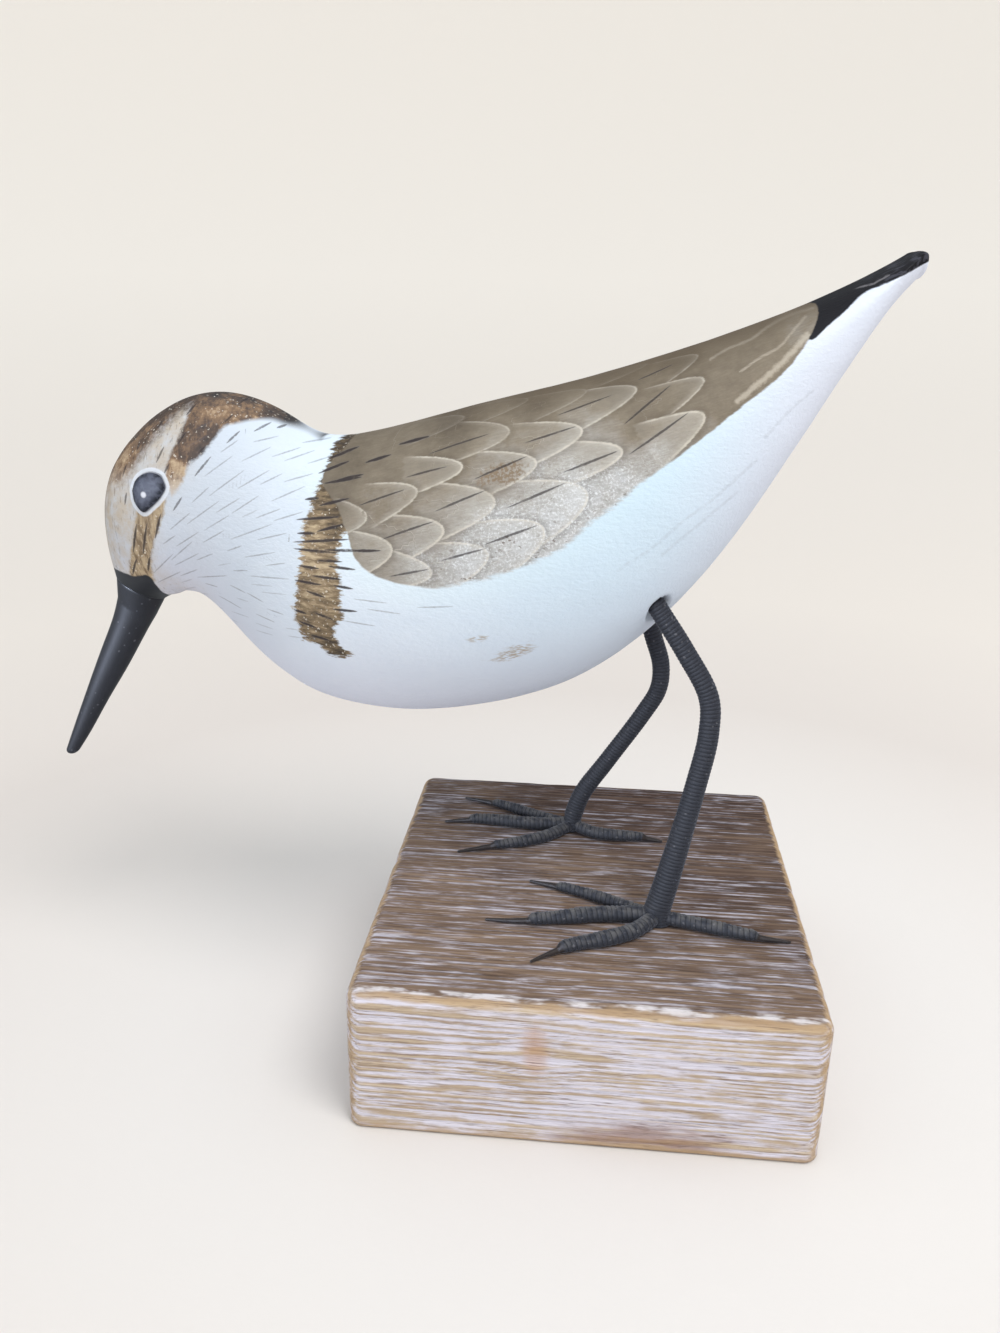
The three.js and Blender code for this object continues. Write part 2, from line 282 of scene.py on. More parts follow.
# %% Ground that steepens into a wall
studio_paper, bench, shader = new_material("studio paper")
flat_distance = bench.put("ShaderNodeVectorMath", {0: bench.place((1.0, 1.0, 0.0))}, 1,
                          operation="LENGTH")
# Painted light and shade on the paper: darkest about 0.2 m from the middle, round the stand, and paler
# far out, where the dish's rising walls get less light.
paper_colour = bench.ramp(bench.times(flat_distance, 1 / 3), [
    (0.03, paint(221, 217, 214)), (0.067, paint(213, 206, 201)), (0.12, paint(224, 217, 210)),
    (0.235, paint(232, 225, 218)), (0.53, paint(247, 240, 232)), (0.83, paint(249, 241, 232))])
paper_tooth = bench.clouds(bench.place(), 0.9, 2.0)
paper_bump = bench.put("ShaderNodeBump", {"Strength": 0.03, "Height": paper_tooth})
dress(bench, shader, paper_colour, 0.95, 0.1, paper_bump)

LEVEL_RADIUS, RIM_RADIUS, RIM_SLOPE, RIM_STEPS = 0.4, 3.2, math.radians(70), 40
ground_profile = [(LEVEL_RADIUS * i / 4, 0.0) for i in range(1, 5)]
for i in range(1, RIM_STEPS + 1):
    share = i / RIM_STEPS
    radius, height = ground_profile[-1]
    width = (RIM_RADIUS - LEVEL_RADIUS) / RIM_STEPS
    ground_profile.append((radius + width, height + width * math.tan(RIM_SLOPE * share**1.5)))
ground_around = 128
ground_points = [(0, 0, 0)]
for radius, height in ground_profile:
    for k in range(ground_around):
        angle = 2 * math.pi * k / ground_around
        ground_points.append((radius * math.cos(angle), radius * math.sin(angle), height))
ground_faces = [(0, 1 + k, 1 + (k + 1) % ground_around) for k in range(ground_around)]
for row in range(len(ground_profile) - 1):
    start = 1 + row * ground_around
    for k in range(ground_around):
        beside = (k + 1) % ground_around
        ground_faces.append((start + k, start + ground_around + k,
                             start + ground_around + beside, start + beside))
ground_mesh = bpy.data.meshes.new("studio_ground")
ground_mesh.from_pydata(ground_points, [], ground_faces)
ground_mesh.shade_smooth()
ground_mesh.materials.append(studio_paper)
ground = bpy.data.objects.new("studio_ground", ground_mesh)
bpy.context.scene.collection.objects.link(ground)
ground.visible_glossy = False
print("ground rim:", [round(v, 2) for v in ground_profile[-1]], "m out and up")

# %% Soft light
world = bpy.data.worlds.new("studio air")
world.use_nodes = True
# What shines back from satin black is a dimmer room than the one that lights the paint.
air = Bench(world.node_tree)
in_gloss = air.put("ShaderNodeLightPath", output="Is Glossy Ray")
background = world.node_tree.nodes["Background"]
background.inputs["Color"].default_value = (0.91, 0.965, 1.005, 1.0)
air.join(air.rise(in_gloss, 0.0, 1.0, 0.97, 0.25), background.inputs["Strength"])
bpy.context.scene.world = world
bpy.context.scene.view_settings.view_transform = "Standard"


def add_light(name, place, aim, size, watts, colour):
    light = bpy.data.lights.new(name, "AREA")
    light.shape = "DISK"
    light.size = size
    light.energy = watts
    light.color = colour
    lamp = bpy.data.objects.new(name, light)
    bpy.context.scene.collection.objects.link(lamp)
    lamp.location = place
    lamp.rotation_euler = (Vector(aim) - Vector(place)).to_track_quat("-Z", "Y").to_euler()
    return lamp


add_light("window", (0.40, -0.45, 1.0), (-0.02, 0.0, 0.06), 0.6, 7.0, (1.0, 0.98, 0.96))
card = add_light("side card", (-0.62, -0.85, 0.30), (-0.1, 0.0, 0.08), 0.6, 60.0, (0.70, 0.79, 1.0))
card.visible_diffuse = False

# %% [markdown]
# ## Helpers for shapes
# Most pieces are lofts: rings of points, each joined to the next. The rings come from smooth curves
# through a few measured stations, as a carver works from a few templates. NumPy computes a whole
# surface at once, which keeps fine meshes quick.

# %% Smooth curves


def smooth_through(values):
    """The natural cubic spline through evenly numbered values."""
    values = np.asarray(values, float)
    last = len(values) - 1
    bend = np.zeros(last + 1)
    share = np.zeros(last + 1)
    for i in range(1, last):
        pull = 6 * (values[i - 1] - 2 * values[i] + values[i + 1])
        pivot = 4 - share[i - 1]
        share[i] = 1 / pivot
        bend[i] = (pull - bend[i - 1]) / pivot
    for i in range(last - 1, 0, -1):
        bend[i] -= share[i] * bend[i + 1]

    def value_at(at):
        i = np.minimum(np.floor(at).astype(int), last - 1)
        u = at - i
        v = 1 - u
        straight = values[i] * v + values[i + 1] * u
        return straight + ((v**3 - v) * bend[i] + (u**3 - u) * bend[i + 1]) / 6

    return value_at


def flowing(points, steps=6):
    """More points along a centripetal curve through the given ones, in two or three dimensions."""
    p = np.asarray(points, float)
    p = np.vstack([2 * p[0] - p[1], p, 2 * p[-1] - p[-2]])
    out = []
    for a, b, c, d in zip(p, p[1:], p[2:], p[3:]):
        gaps = [max(np.linalg.norm(v) ** 0.5, 1e-6) for v in (b - a, c - b, d - c)]
        leave = (b - a) / gaps[0] - (c - a) / (gaps[0] + gaps[1]) + (c - b) / gaps[1]
        arrive = (c - b) / gaps[1] - (d - b) / (gaps[1] + gaps[2]) + (d - c) / gaps[2]
        leave, arrive = leave * gaps[1], arrive * gaps[1]
        for k in range(steps):
            u = k / steps
            out.append(b * (2 * u**3 - 3 * u**2 + 1) + leave * (u**3 - 2 * u**2 + u)
                       + c * (3 * u**2 - 2 * u**3) + arrive * (u**3 - u**2))
    return np.array(out + [p[-2]])


def evenly(points, spacing):
    """The same path with points a set distance apart, and the distance at each."""
    lengths = np.concatenate([[0], np.cumsum(np.linalg.norm(np.diff(points, axis=0), axis=1))])
    count = max(int(round(lengths[-1] / spacing)), 2)
    at = np.linspace(0, lengths[-1], count + 1)
    return np.stack([np.interp(at, lengths, points[:, k]) for k in range(points.shape[1])], 1), at


print("the curve through 0, 1, 0 at a quarter:", round(float(smooth_through([0, 1, 0])(0.5)), 3))

# %% Soft steps, directions and noise


def step(value, low, high):
    """0 below low and 1 above high, with a soft turn between."""
    t = np.clip((np.asarray(value, float) - low) / (high - low), 0, 1)
    return t * t * (3 - 2 * t)


def pointing(degrees):
    """A step of length 1 in the direction of an angle."""
    return np.array([math.cos(math.radians(degrees)), math.sin(math.radians(degrees))])


def in_millimetres(box):
    return [np.array(corner) / MM for corner in box]


def ripple(points, scale, seed):
    """Smooth random values from -1 to 1 for points, the same on every run."""
    shift = Vector((seed * 17.3, seed * 5.1, seed * 9.7))
    return np.array([noise.noise(Vector((p[0] * scale[0], p[1] * scale[1], p[2] * scale[2])) + shift)
                     for p in points])


print("half way through a soft step:", step(0.5, 0, 1))

# %% Meshes


def tube_faces(rows, around):
    """Faces that join rings of points, with a flat face on each end."""
    row, column = np.meshgrid(np.arange(rows - 1), np.arange(around), indexing="ij")
    beside = (column + 1) % around
    quads = np.stack([row * around + column, row * around + beside, (row + 1) * around + beside,
                      (row + 1) * around + column], -1).reshape(-1, 4)
    return quads.tolist() + [list(range(around)), list(range((rows - 1) * around, rows * around))]


def new_piece(name, points, faces, material, replaced=(), fields=None):
    """A smooth mesh in the part's frame, made from millimetres, that rides on the body."""
    mesh = bpy.data.meshes.new(name)
    mesh.from_pydata((np.asarray(points) * MM).tolist(), [], faces)
    for field, values in (fields or {}).items():
        values = np.asarray(values, np.float32)
        kind = "FLOAT_VECTOR" if values.ndim == 2 else "FLOAT"
        stored = mesh.attributes.new(field, kind, "POINT")
        stored.data.foreach_set("vector" if values.ndim == 2 else "value", values.ravel())
    shell = bmesh.new()
    shell.from_mesh(mesh)
    bmesh.ops.recalc_face_normals(shell, faces=shell.faces)
    shell.to_mesh(mesh)
    shell.free()
    mesh.shade_smooth()
    mesh.materials.append(material)
    piece = bpy.data.objects.new(name, mesh)
    bpy.context.scene.collection.objects.link(piece)
    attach(piece, "root")
    if replaced:
        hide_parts(*replaced)
    print(name, len(mesh.vertices), "points,", sum(len(f) - 2 for f in faces), "triangles")
    return piece


# %% [markdown]
# ## The carving
# Head, body, folded wings and tail are one piece of wood. A sculpted mesh would be hard to keep to
# size, so the shape is a loft between two lines seen from the side, the back and the belly, with a
# half width at each station. The section is a rounded oval that turns squarer towards the tail.

# %% Stations of the carving
# Back and belly as (x, height above the block), then the half width.
CARVING_STATIONS = [
    ((-103.8, 64.9), (-93.5, 59.5), 5.4), ((-104, 73), (-91.5, 60.5), 9),
    ((-102.7, 83.5), (-89.5, 61), 12.5), ((-98.5, 91.7), (-88, 61.7), 14.5),
    ((-90.7, 99), (-86.3, 61.7), 15.5), ((-79.5, 103), (-83, 60.7), 16),
    ((-68.3, 100.5), (-78.5, 56.5), 16.5), ((-61.3, 96.5), (-73.7, 51.5), 18.5),
    ((-54, 95), (-67.5, 46.3), 21.5), ((-41.7, 97.5), (-57.5, 41), 25.5),
    ((-26.7, 101.7), (-42, 38.7), 28), ((-11.7, 105.7), (-25.5, 40.3), 28),
    ((3.3, 110), (-7.5, 46), 26.5), ((18.3, 115), (7.5, 56.3), 23),
    ((31.5, 120), (20.5, 71), 18.5), ((43.5, 125.3), (33.3, 92.3), 14),
    ((51, 129.45), (45.4, 114.6), 9.8), ((53.1, 130.85), (53.7, 125.7), 7.0),
]
TAIL_START, TAIL_FULL = 12, 16


def carved_form(stations, tail_share):
    """A function that gives the surface at a station number and an angle from the back."""
    rails = [smooth_through([s[side][axis] for s in stations]) for side in (0, 1) for axis in (0, 1)]
    half = smooth_through([s[2] for s in stations])

    def surface(at, angle):
        back_x, back_z, belly_x, belly_z = [rail(at) for rail in rails]
        tail = tail_share(at)
        waist = 0.5 + 0.28 * tail
        upper = np.cos(angle) >= 0
        power = np.where(upper, 2.15 + 1.4 * tail, 2.1 - 0.1 * tail)

        def bulge(value):
            return np.sign(value) * np.abs(value) ** (2 / power)

        rise = bulge(np.cos(angle))
        level_x = belly_x + (back_x - belly_x) * waist
        level_z = belly_z + (back_z - belly_z) * waist
        reach_x = np.where(upper, back_x - level_x, level_x - belly_x)
        reach_z = np.where(upper, back_z - level_z, level_z - belly_z)
        return np.stack([level_x + reach_x * rise, BIRD_PLANE + half(at) * bulge(np.sin(angle)),
                         BLOCK_HEIGHT + level_z + reach_z * rise], -1)

    return surface


carving = carved_form(CARVING_STATIONS, lambda at: step(at, TAIL_START, TAIL_FULL))
print("carving stations:", len(CARVING_STATIONS))

# %% [markdown]
# Paint edges, feathers and brush strokes are stored on the points of the mesh, so the points are
# spread evenly: rings the same distance apart, and more points on the upper sides, where the
# feathers are, than under the belly.

# %% Rings spread over the carving
BODY_RINGS, HALF_RING = 322, 148
TAIL_ROUND = (2.0, 0.0, 0.1)


def even_stations(form, last, count):
    """Station numbers whose rings lie about the same distance apart."""
    at = np.linspace(0, last, 1500)
    lines = [form(at, np.full_like(at, angle)) for angle in (0.0, math.pi / 2, math.pi)]
    steps = sum(np.linalg.norm(np.diff(line, axis=0), axis=1) for line in lines)
    run = np.concatenate([[0], np.cumsum(steps)])
    return np.interp(np.linspace(0, run[-1], count), run, at)


def even_ring(form, at, half_count, crowding=0.0):
    """One ring from the back round both sides, and each point's distance from the back."""
    angles = np.linspace(0, math.pi, 900)
    side = form(np.full_like(angles, at), angles)
    run = np.concatenate([[0], np.cumsum(np.linalg.norm(np.diff(side, axis=0), axis=1))])
    share = np.linspace(0, 1, half_count + 1)
    share = share - crowding * np.sin(math.pi * share) / math.pi
    chosen = np.interp(share * run[-1], run, angles)
    left = form(np.full_like(chosen, at), -chosen)
    right_side = form(np.full_like(chosen, at), chosen)
    from_back = share * run[-1]
    points = np.vstack([left, right_side[-2:0:-1]])
    return points, np.concatenate([from_back, from_back[-2:0:-1]])


def rounded_end(ring, push, steps):
    """Rings that close a form softly in the direction of push."""
    middle = ring.mean(0)
    rings = []
    for i in range(steps):
        angle = (i + 1) / steps * math.pi / 2 * 0.985
        rings.append(middle + (ring - middle) * math.cos(angle) + np.asarray(push) * math.sin(angle))
    return rings


print("rings to lay:", BODY_RINGS, "of", 2 * HALF_RING, "points")

# %% Lay the rings
last_station = len(CARVING_STATIONS) - 1
rings, from_back = [], []
for at in even_stations(carving, last_station, BODY_RINGS):
    ring, distances = even_ring(carving, at, HALF_RING, 0.35)
    rings.append(ring)
    from_back.append(distances)


def centre_of(form, at):
    at = np.array([float(at)])
    return (form(at, np.zeros(1))[0] + form(at, np.full(1, math.pi))[0]) / 2


for ring in rounded_end(rings[-1], TAIL_ROUND, 9):
    rings.append(ring)
    from_back.append(from_back[-1])
body_points = np.vstack(rings)
body_across = np.concatenate(from_back)
body_around = 2 * HALF_RING
body_faces = tube_faces(len(rings), body_around)
print("rings:", len(rings), "with", body_around, "points each")

# %% [markdown]
# The knife leaves soft flats and hollows, and the legs sit in drilled holes whose paint is broken at
# the rim. Both are real relief, and the points are then kept to the box of the solid carving.

# %% Knife flats and leg holes
LEGS = {
    "left": dict(side=-1, top=3.7, foot=5.0, path=[
        (10.6, 15.3, 65.6), (16.1, 16, 57.6), (21.2, 16.8, 48.7), (21.7, 17.4, 41.5),
        (20, 18.2, 30.8), (15.7, 19.8, 10.5), (14, 20.3, 0)]),
    "right": dict(side=1, top=3.9, foot=3.7, path=[
        (7.8, 14.9, 62.5), (11.5, 15.3, 51), (13.7, 15.7, 44), (13.5, 16.1, 38),
        (10.5, 16.5, 31.8), (2.9, 17.3, 19.2), (-2.7, 17.9, 9.9), (-4.8, 18.4, 0)]),
}
HOLE_DEPTH, HOLE_CLEARANCE, HOLE_REGION = 3.5, 0.75, 9.0
KNIFE_SKIN, BROAD_FLATS, SMALL_FLATS = 0.14, 0.10, 0.035


def leg_points(leg):
    return np.array([(x, BIRD_PLANE + leg["side"] * out, BLOCK_HEIGHT + h) for x, out, h in leg["path"]])


def surface_normals(rows, around, points):
    """Outward directions of a ring surface, from its neighbours."""
    grid = points.reshape(rows, around, 3)
    along = np.gradient(grid, axis=0)
    across = np.roll(grid, -1, axis=1) - np.roll(grid, 1, axis=1)
    normal = np.cross(along, across)
    length = np.linalg.norm(normal, axis=2, keepdims=True)
    normal = (normal / np.maximum(length, 1e-9)).reshape(-1, 3)
    outward = points - points.mean(0)
    if np.einsum("ij,ij->i", normal, outward).sum() < 0:
        normal = -normal
    return normal


body_normal = surface_normals(len(rings), body_around, body_points)
flats = (ripple(body_points, (0.07, 0.1, 0.1), 1) * BROAD_FLATS
         + ripple(body_points, (0.22, 0.3, 0.3), 2) * SMALL_FLATS)
body_points = body_points - body_normal * (KNIFE_SKIN + flats)[:, None]
hole_rim = np.full(len(body_points), HOLE_REGION)
for leg in LEGS.values():
    path = leg_points(leg)
    inward = path[0] - path[1]
    inward /= np.linalg.norm(inward)
    offset = body_points - path[0]
    depth_in = offset @ inward
    from_axis = np.linalg.norm(offset - depth_in[:, None] * inward, axis=1)
    near = np.abs(depth_in) < HOLE_REGION
    edge_ripple = ripple(body_points * near[:, None], (0.9, 0.9, 0.9), 3) * 0.3 * near
    radius = leg["top"] / 2 + HOLE_CLEARANCE + edge_ripple
    sink = np.where(near, 1 - step(from_axis, radius - 0.35, radius + 0.25), 0)
    body_points = body_points + (sink * HOLE_DEPTH)[:, None] * inward
    hole_rim = np.where(near, np.minimum(hole_rim, from_axis - radius), hole_rim)

low, high = in_millimetres(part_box("body"))
body_points = np.clip(body_points, low, high)
print("body from", body_points.min(0).round(1), "to", body_points.max(0).round(1))

# %% [markdown]
# ### Where the colours meet
# Each patch of colour has an edge that was read from the photograph as a few points seen from the
# side. For every point of the mesh the distance to that edge is stored, positive inside the patch.
# A shader can then draw a crisp or a ragged edge at any scale from it, which painted vertex colours
# can't do.

# %% Distances to the edges of the colour patches
side_view = np.stack([body_points[:, 0], body_points[:, 2] - BLOCK_HEIGHT], 1)


def inside_by(places, outline):
    """How far each place is inside a closed outline; negative outside."""
    outline = np.asarray(outline, float)
    nearest = np.full(len(places), 1e9)
    inside = np.zeros(len(places), bool)
    x, y = places[:, 0], places[:, 1]
    for p, q in zip(outline, np.roll(outline, -1, axis=0)):
        d = q - p
        if d @ d < 1e-12:
            continue
        t = np.clip(((places - p) @ d) / (d @ d), 0, 1)
        nearest = np.minimum(nearest, np.linalg.norm(places - p - t[:, None] * d, axis=1))
        if p[1] != q[1]:
            crossing = (q[0] - p[0]) * (y - p[1]) / (q[1] - p[1]) + p[0]
            inside ^= ((p[1] <= y) != (q[1] <= y)) & (x < crossing)
    return np.where(inside, nearest, -nearest)


EYE_OUTLINE = [(-92.2, 85.1), (-91.4, 87.1), (-89.8, 88.3), (-88, 88.7), (-86.2, 88.2), (-85.4, 86.9),
               (-85.2, 86), (-86.6, 83.8), (-88.5, 82.1), (-90, 81.1), (-91.7, 82.8)]
FOREHEAD = [(-103.4, 71.5), (-101.9, 76.5), (-99.9, 80.3), (-98.7, 84.8), (-95.6, 85.9), (-93.5, 87.9),
            (-90.6, 91.7), (-87.2, 96), (-84.4, 98.7), (-82.6, 100.3)]
STRIPE_TOP = [(-85.2, 87.4), (-85.0, 89.6), (-84.3, 92.1), (-83.3, 94.5), (-82.3, 97.1), (-82.0, 99)]
STRIPE_LOW = [(-83.9, 84.3), (-81.7, 87.4), (-80.2, 90.8), (-78.4, 91.9), (-76, 95), (-74.4, 97.3),
              (-71.9, 98), (-70, 98.4), (-66.7, 98.4), (-64.1, 97.4), (-61.8, 96.6), (-57, 94.6)]
LORE_FRONT = [(-91.5, 81.5), (-92.5, 78.3), (-93.7, 74.1), (-95.9, 69.3), (-97.1, 66)]
LORE_BACK = [(-91.2, 66), (-90.2, 71.1), (-89, 74.5), (-87.4, 77.7), (-85.9, 81.3), (-85.2, 84)]
BILL_PAINT = [(-99.9, 67), (-97.6, 66.8), (-95.8, 66.6), (-92.4, 67.4), (-91.7, 67), (-91.4, 64.9),
              (-91.4, 60)]
BREAST_FRONT = [(-53.5, 96), (-54.3, 88.8), (-55, 87.3), (-55.7, 84.2), (-56.7, 81.6), (-57, 77.2),
                (-57.3, 73.5), (-58, 69.7), (-58.8, 66.1), (-58.5, 61.6), (-57.7, 60.3), (-57.5, 58.6)]
BREAST_LOW = [(-56.6, 58.7), (-54.7, 58.6), (-52.9, 57.1), (-51, 56.1), (-47.4, 56.8)]
BREAST_BACK = [(-49.6, 58.7), (-50.6, 61.8), (-49.2, 64), (-48.9, 66.6), (-49, 69.8), (-49.2, 72.6),
               (-49.8, 75.2), (-49.7, 77.4), (-49, 79.1), (-47.6, 80.7), (-46.6, 82.5), (-47, 84.5),
               (-47.6, 86), (-48, 88)]
WING_FRONT = [(-50.3, 97), (-50.8, 95.2), (-51.3, 93.8), (-52.8, 92.1), (-54, 90.1), (-54.2, 88)]
WING_LOW = [(-52.0, 86.0), (-50.1, 84.2), (-48.8, 81.8), (-47.9, 80.4), (-47.1, 78.2), (-46.1, 76),
            (-44, 74), (-41.1, 72.8), (-37.3, 72), (-32.6, 71.5), (-28, 71.8), (-23.4, 72.9),
            (-18.9, 74.1), (-13.6, 76.3), (-8.3, 78.9), (-3.2, 83.5), (1.9, 87.6), (6.9, 92.1),
            (12, 95.9), (17, 100), (22, 104.1), (26.9, 108), (30.2, 111.2), (33.1, 115.4)]
WING_TIP = [(33.6, 116.4), (34.1, 117.4), (35, 119.5), (35.5, 121.1), (37.5, 127)]
TAIL_LOW = [(33.1, 115.7), (33.9, 115.6), (36.1, 117.6), (39.3, 120.4), (42.6, 123.4), (45.2, 124.6),
            (48.5, 126.1), (52.7, 128.1), (57, 130.2)]


print("edges read from the photograph; the wing's lower edge has", len(WING_LOW), "points")

# %% Join the edges into patches


def patch(*runs, corners=()):
    return np.vstack([flowing(run) for run in runs] + ([np.array(corners, float)] if corners else []))


patches = {
    "forehead": patch(FOREHEAD, corners=[(-80, 99.5), (-80, 115), (-116, 115), (-116, 71)]),
    "stripe": np.vstack([flowing(STRIPE_LOW), [(-56, 115), (-82.3, 115)], flowing(STRIPE_TOP[::-1])]),
    "lore": patch(LORE_FRONT, LORE_BACK),
    "bill_paint": patch(BILL_PAINT, corners=[(-91.4, 40), (-120, 40), (-120, 67)]),
    "breast": patch(BREAST_FRONT, BREAST_LOW, BREAST_BACK, corners=[(-49, 96)]),
    "wing": patch(WING_FRONT, WING_LOW, [(x + 1, y) for x, y in WING_TIP],
                  corners=[(39, 140), (-50, 140)]),
    "tail": patch(WING_TIP[::-1], TAIL_LOW, corners=[(70, 140), (38, 140)]),
    "eye": patch(EYE_OUTLINE + EYE_OUTLINE[:1]),
}
EDGE_REACH = 6
fields = {name: inside_by(side_view, outline).clip(-EDGE_REACH, EDGE_REACH)
          for name, outline in patches.items()}
fields["hole_rim"] = hole_rim
for name, values in fields.items():
    print(name, "covers", round(float((values > 0).mean()) * 100, 1), "% of the points")

# %% [markdown]
# ### Brush strokes
# The painter laid short dark strokes over the neck, the breast and the wing. A stroke is stored as
# three numbers on the points near it: how far a point is to its side, how far along it, and how dark
# the stroke is. Strokes that lie close together go into different layers as far as these allow, so
# that the numbers of two don't mix.

# %% Lay the strokes
# Each stroke is its middle (x, height), its direction in degrees and its length.
DARK_STROKES = [
    (-77.7, 90.2, 53, 5.2), (-82.9, 83.0, 57, 3.8), (-72.4, 95.5, 48, 3.3), (-67.6, 97.2, 33, 3.1),
    (-64.5, 97.1, 17, 1.5), (-82.2, 95.2, 63, 2.8), (-86.5, 92.0, 67, 3.6), (-84.9, 89.6, 64, 2.3),
    (-81.6, 100.2, 60, 2.7), (-87.8, 97.2, 56, 1.9), (-72.8, 101.5, 49, 1.4), (-73.9, 98.7, 52, 1.9),
    (-94.8, 88.4, 76, 2.7), (-92.1, 92.9, 84, 1.8), (-78.2, 93.1, 46, 2.3), (-94.1, 83.3, 83, 2.7),
]
LORE_STROKES = [(-90.6, 75.6, 76, 6.5), (-87.4, 78.4, 73, 5.1), (-94.7, 69.0, 61, 4.6),
                (-92.8, 75.6, 76, 6.1), (-91.0, 70.1, 71, 3.4)]
NECK_STROKES = [
    (-82.7, 79.6, 41, 4.8), (-78.2, 84.9, 44, 4.0), (-73.1, 87.2, 39, 7.0), (-74.7, 90.3, 39, 5.3),
    (-77.9, 81.5, 38, 7.0), (-85.5, 75.7, 37, 3.0), (-83.4, 73.4, 42, 5.7), (-67.9, 88.0, 33, 5.8),
    (-72.8, 83.1, 34, 4.7), (-67.8, 92.5, 29, 4.7), (-64.4, 88.2, 29, 3.8), (-66.5, 95.1, 15, 3.6),
    (-62.4, 92.8, 20, 4.2), (-59.1, 88.6, 19, 4.8), (-59.8, 92.2, 21, 4.5), (-57.8, 94.5, 9, 3.9),
    (-55.8, 91.6, 20, 3.6), (-69.3, 83.4, 36, 5.5), (-60.7, 85.8, 27, 6.0), (-75.3, 79.6, 34, 5.2),
    (-87.9, 70.4, 44, 5.9), (-81.7, 76.0, 35, 5.1), (-82.7, 71.6, 31, 5.5), (-87.8, 67.1, 30, 5.5),
    (-83.1, 68.5, 27, 4.0), (-76.1, 76.9, 33, 4.5), (-68.1, 78.4, 25, 7.9), (-64.5, 82.1, 25, 4.5),
    (-60.3, 81.9, 22, 5.3), (-63.5, 78.0, 19, 5.4), (-78.6, 72.5, 27, 3.5), (-71.8, 74.9, 25, 3.0),
    (-66.2, 74.3, 17, 5.9), (-62.8, 72.9, 16, 3.7), (-70.8, 70.6, 12, 2.9), (-77.8, 68.3, 14, 6.2),
    (-64.1, 70.2, 7, 7.1), (-78.5, 66.2, -3, 2.5), (-71.9, 66.6, -12, 3.2), (-74.6, 63.1, -13, 4.9),
    (-67.8, 65.6, -15, 3.4), (-63.3, 63.5, -4, 3.2), (-65.9, 61.6, -8, 3.8), (-72.9, 93.9, 39, 3.1),
    (-40.5, 66.5, -1, 5.4), (-30.8, 68.0, 7, 5.6), (-43.1, 68.3, 1, 5.5), (-45.5, 63.7, -1, 5.3),
]
BREAST_STROKES = [
    (-51.1, 93.0, 25, 5.5), (-52.3, 90.7, 25, 5.7), (-49.9, 88.8, 15, 7.0), (-55.7, 85.3, 12, 2.7),
    (-51.1, 85.1, 19, 5.7), (-54.2, 82.1, 11, 7.9), (-51.4, 80.7, 21, 5.1), (-56.3, 79.3, 9, 3.4),
    (-53.1, 78.3, 11, 10.5), (-54.1, 76.4, 4, 8.4), (-47.9, 77.1, 7, 8.1), (-51.1, 74.9, 6, 4.5),
    (-55.5, 73.3, 2, 4.0), (-48.7, 73.9, 2, 5.0), (-51.7, 71.8, 3, 5.4), (-55.7, 70.4, 1, 5.1),
    (-48.4, 70.4, 0, 3.6), (-54.1, 68.4, -8, 3.6), (-57.6, 64.5, -4, 2.6), (-52.5, 64.3, -10, 3.3),
    (-48.1, 66.0, 4, 4.4), (-56.1, 62.1, -8, 3.4), (-53.7, 59.7, -5, 3.4),
    (-43.5, 92.7, 21, 4.8), (-37.0, 96.0, 19, 5.6), (-48.7, 89.3, 18, 5.3), (-44.2, 77.4, 8, 5.7),
]
# The shafts of the feathers, from (along, across) to (along, across) over the wing.
SHAFTS = [
    (-14.4, 26.1, -4.5, 26.1), (-11.5, 34.9, -0.5, 34.5), (-12.1, 43.0, -4.2, 43.8),
    (-4.5, 22.9, 4.0, 23.4), (-0.7, 32.1, 10.0, 30.5), (-1.9, 42.2, 6.8, 41.9),
    (0.4, 18.5, 13.0, 17.6), (7.8, 27.3, 18.8, 25.1), (6.3, 40.7, 17.2, 39.2),
    (18.2, 21.6, 28.4, 20.7), (12.1, 34.4, 24.1, 32.1), (23.3, 29.6, 34.4, 27.9),
    (24.8, 16.4, 36.1, 14.5), (35.7, 22.5, 46.7, 16.2), (35.2, 28.7, 48.2, 24.0),
    (40.5, 11.4, 47.9, 9.7),
]
print("strokes read:", len(DARK_STROKES + LORE_STROKES + NECK_STROKES + BREAST_STROKES + SHAFTS))

# %% Places over the wing, and gaps between strokes
WING_LEAN = math.radians(20)
wing_view = np.stack([body_points[:, 0] * math.cos(WING_LEAN)
                      + (body_points[:, 2] - BLOCK_HEIGHT) * math.sin(WING_LEAN), body_across], 1)
# How far a stroke is stored: millimetres to its side, and half lengths from its middle.
STROKE_REACH, STROKE_END = 0.7, 1.5


def from_middle(stroke):
    x, y, direction, length = stroke
    half = pointing(direction) * length / 2
    return np.array([x, y]) - half, np.array([x, y]) + half


def segment_gap(first, second):
    """The shortest distance between points taken along two strokes."""
    share = np.linspace(0, 1, 7)[:, None]
    a = first[0] + (first[1] - first[0]) * share
    b = second[0] + (second[1] - second[0]) * share
    return np.linalg.norm(a[:, None] - b[None], axis=2).min()


def lengthened(strokes, factor):
    return [(x, y, direction, length * factor) for x, y, direction, length in strokes]


print("wing view spans", wing_view.min(0).round(1), "to", wing_view.max(0).round(1))

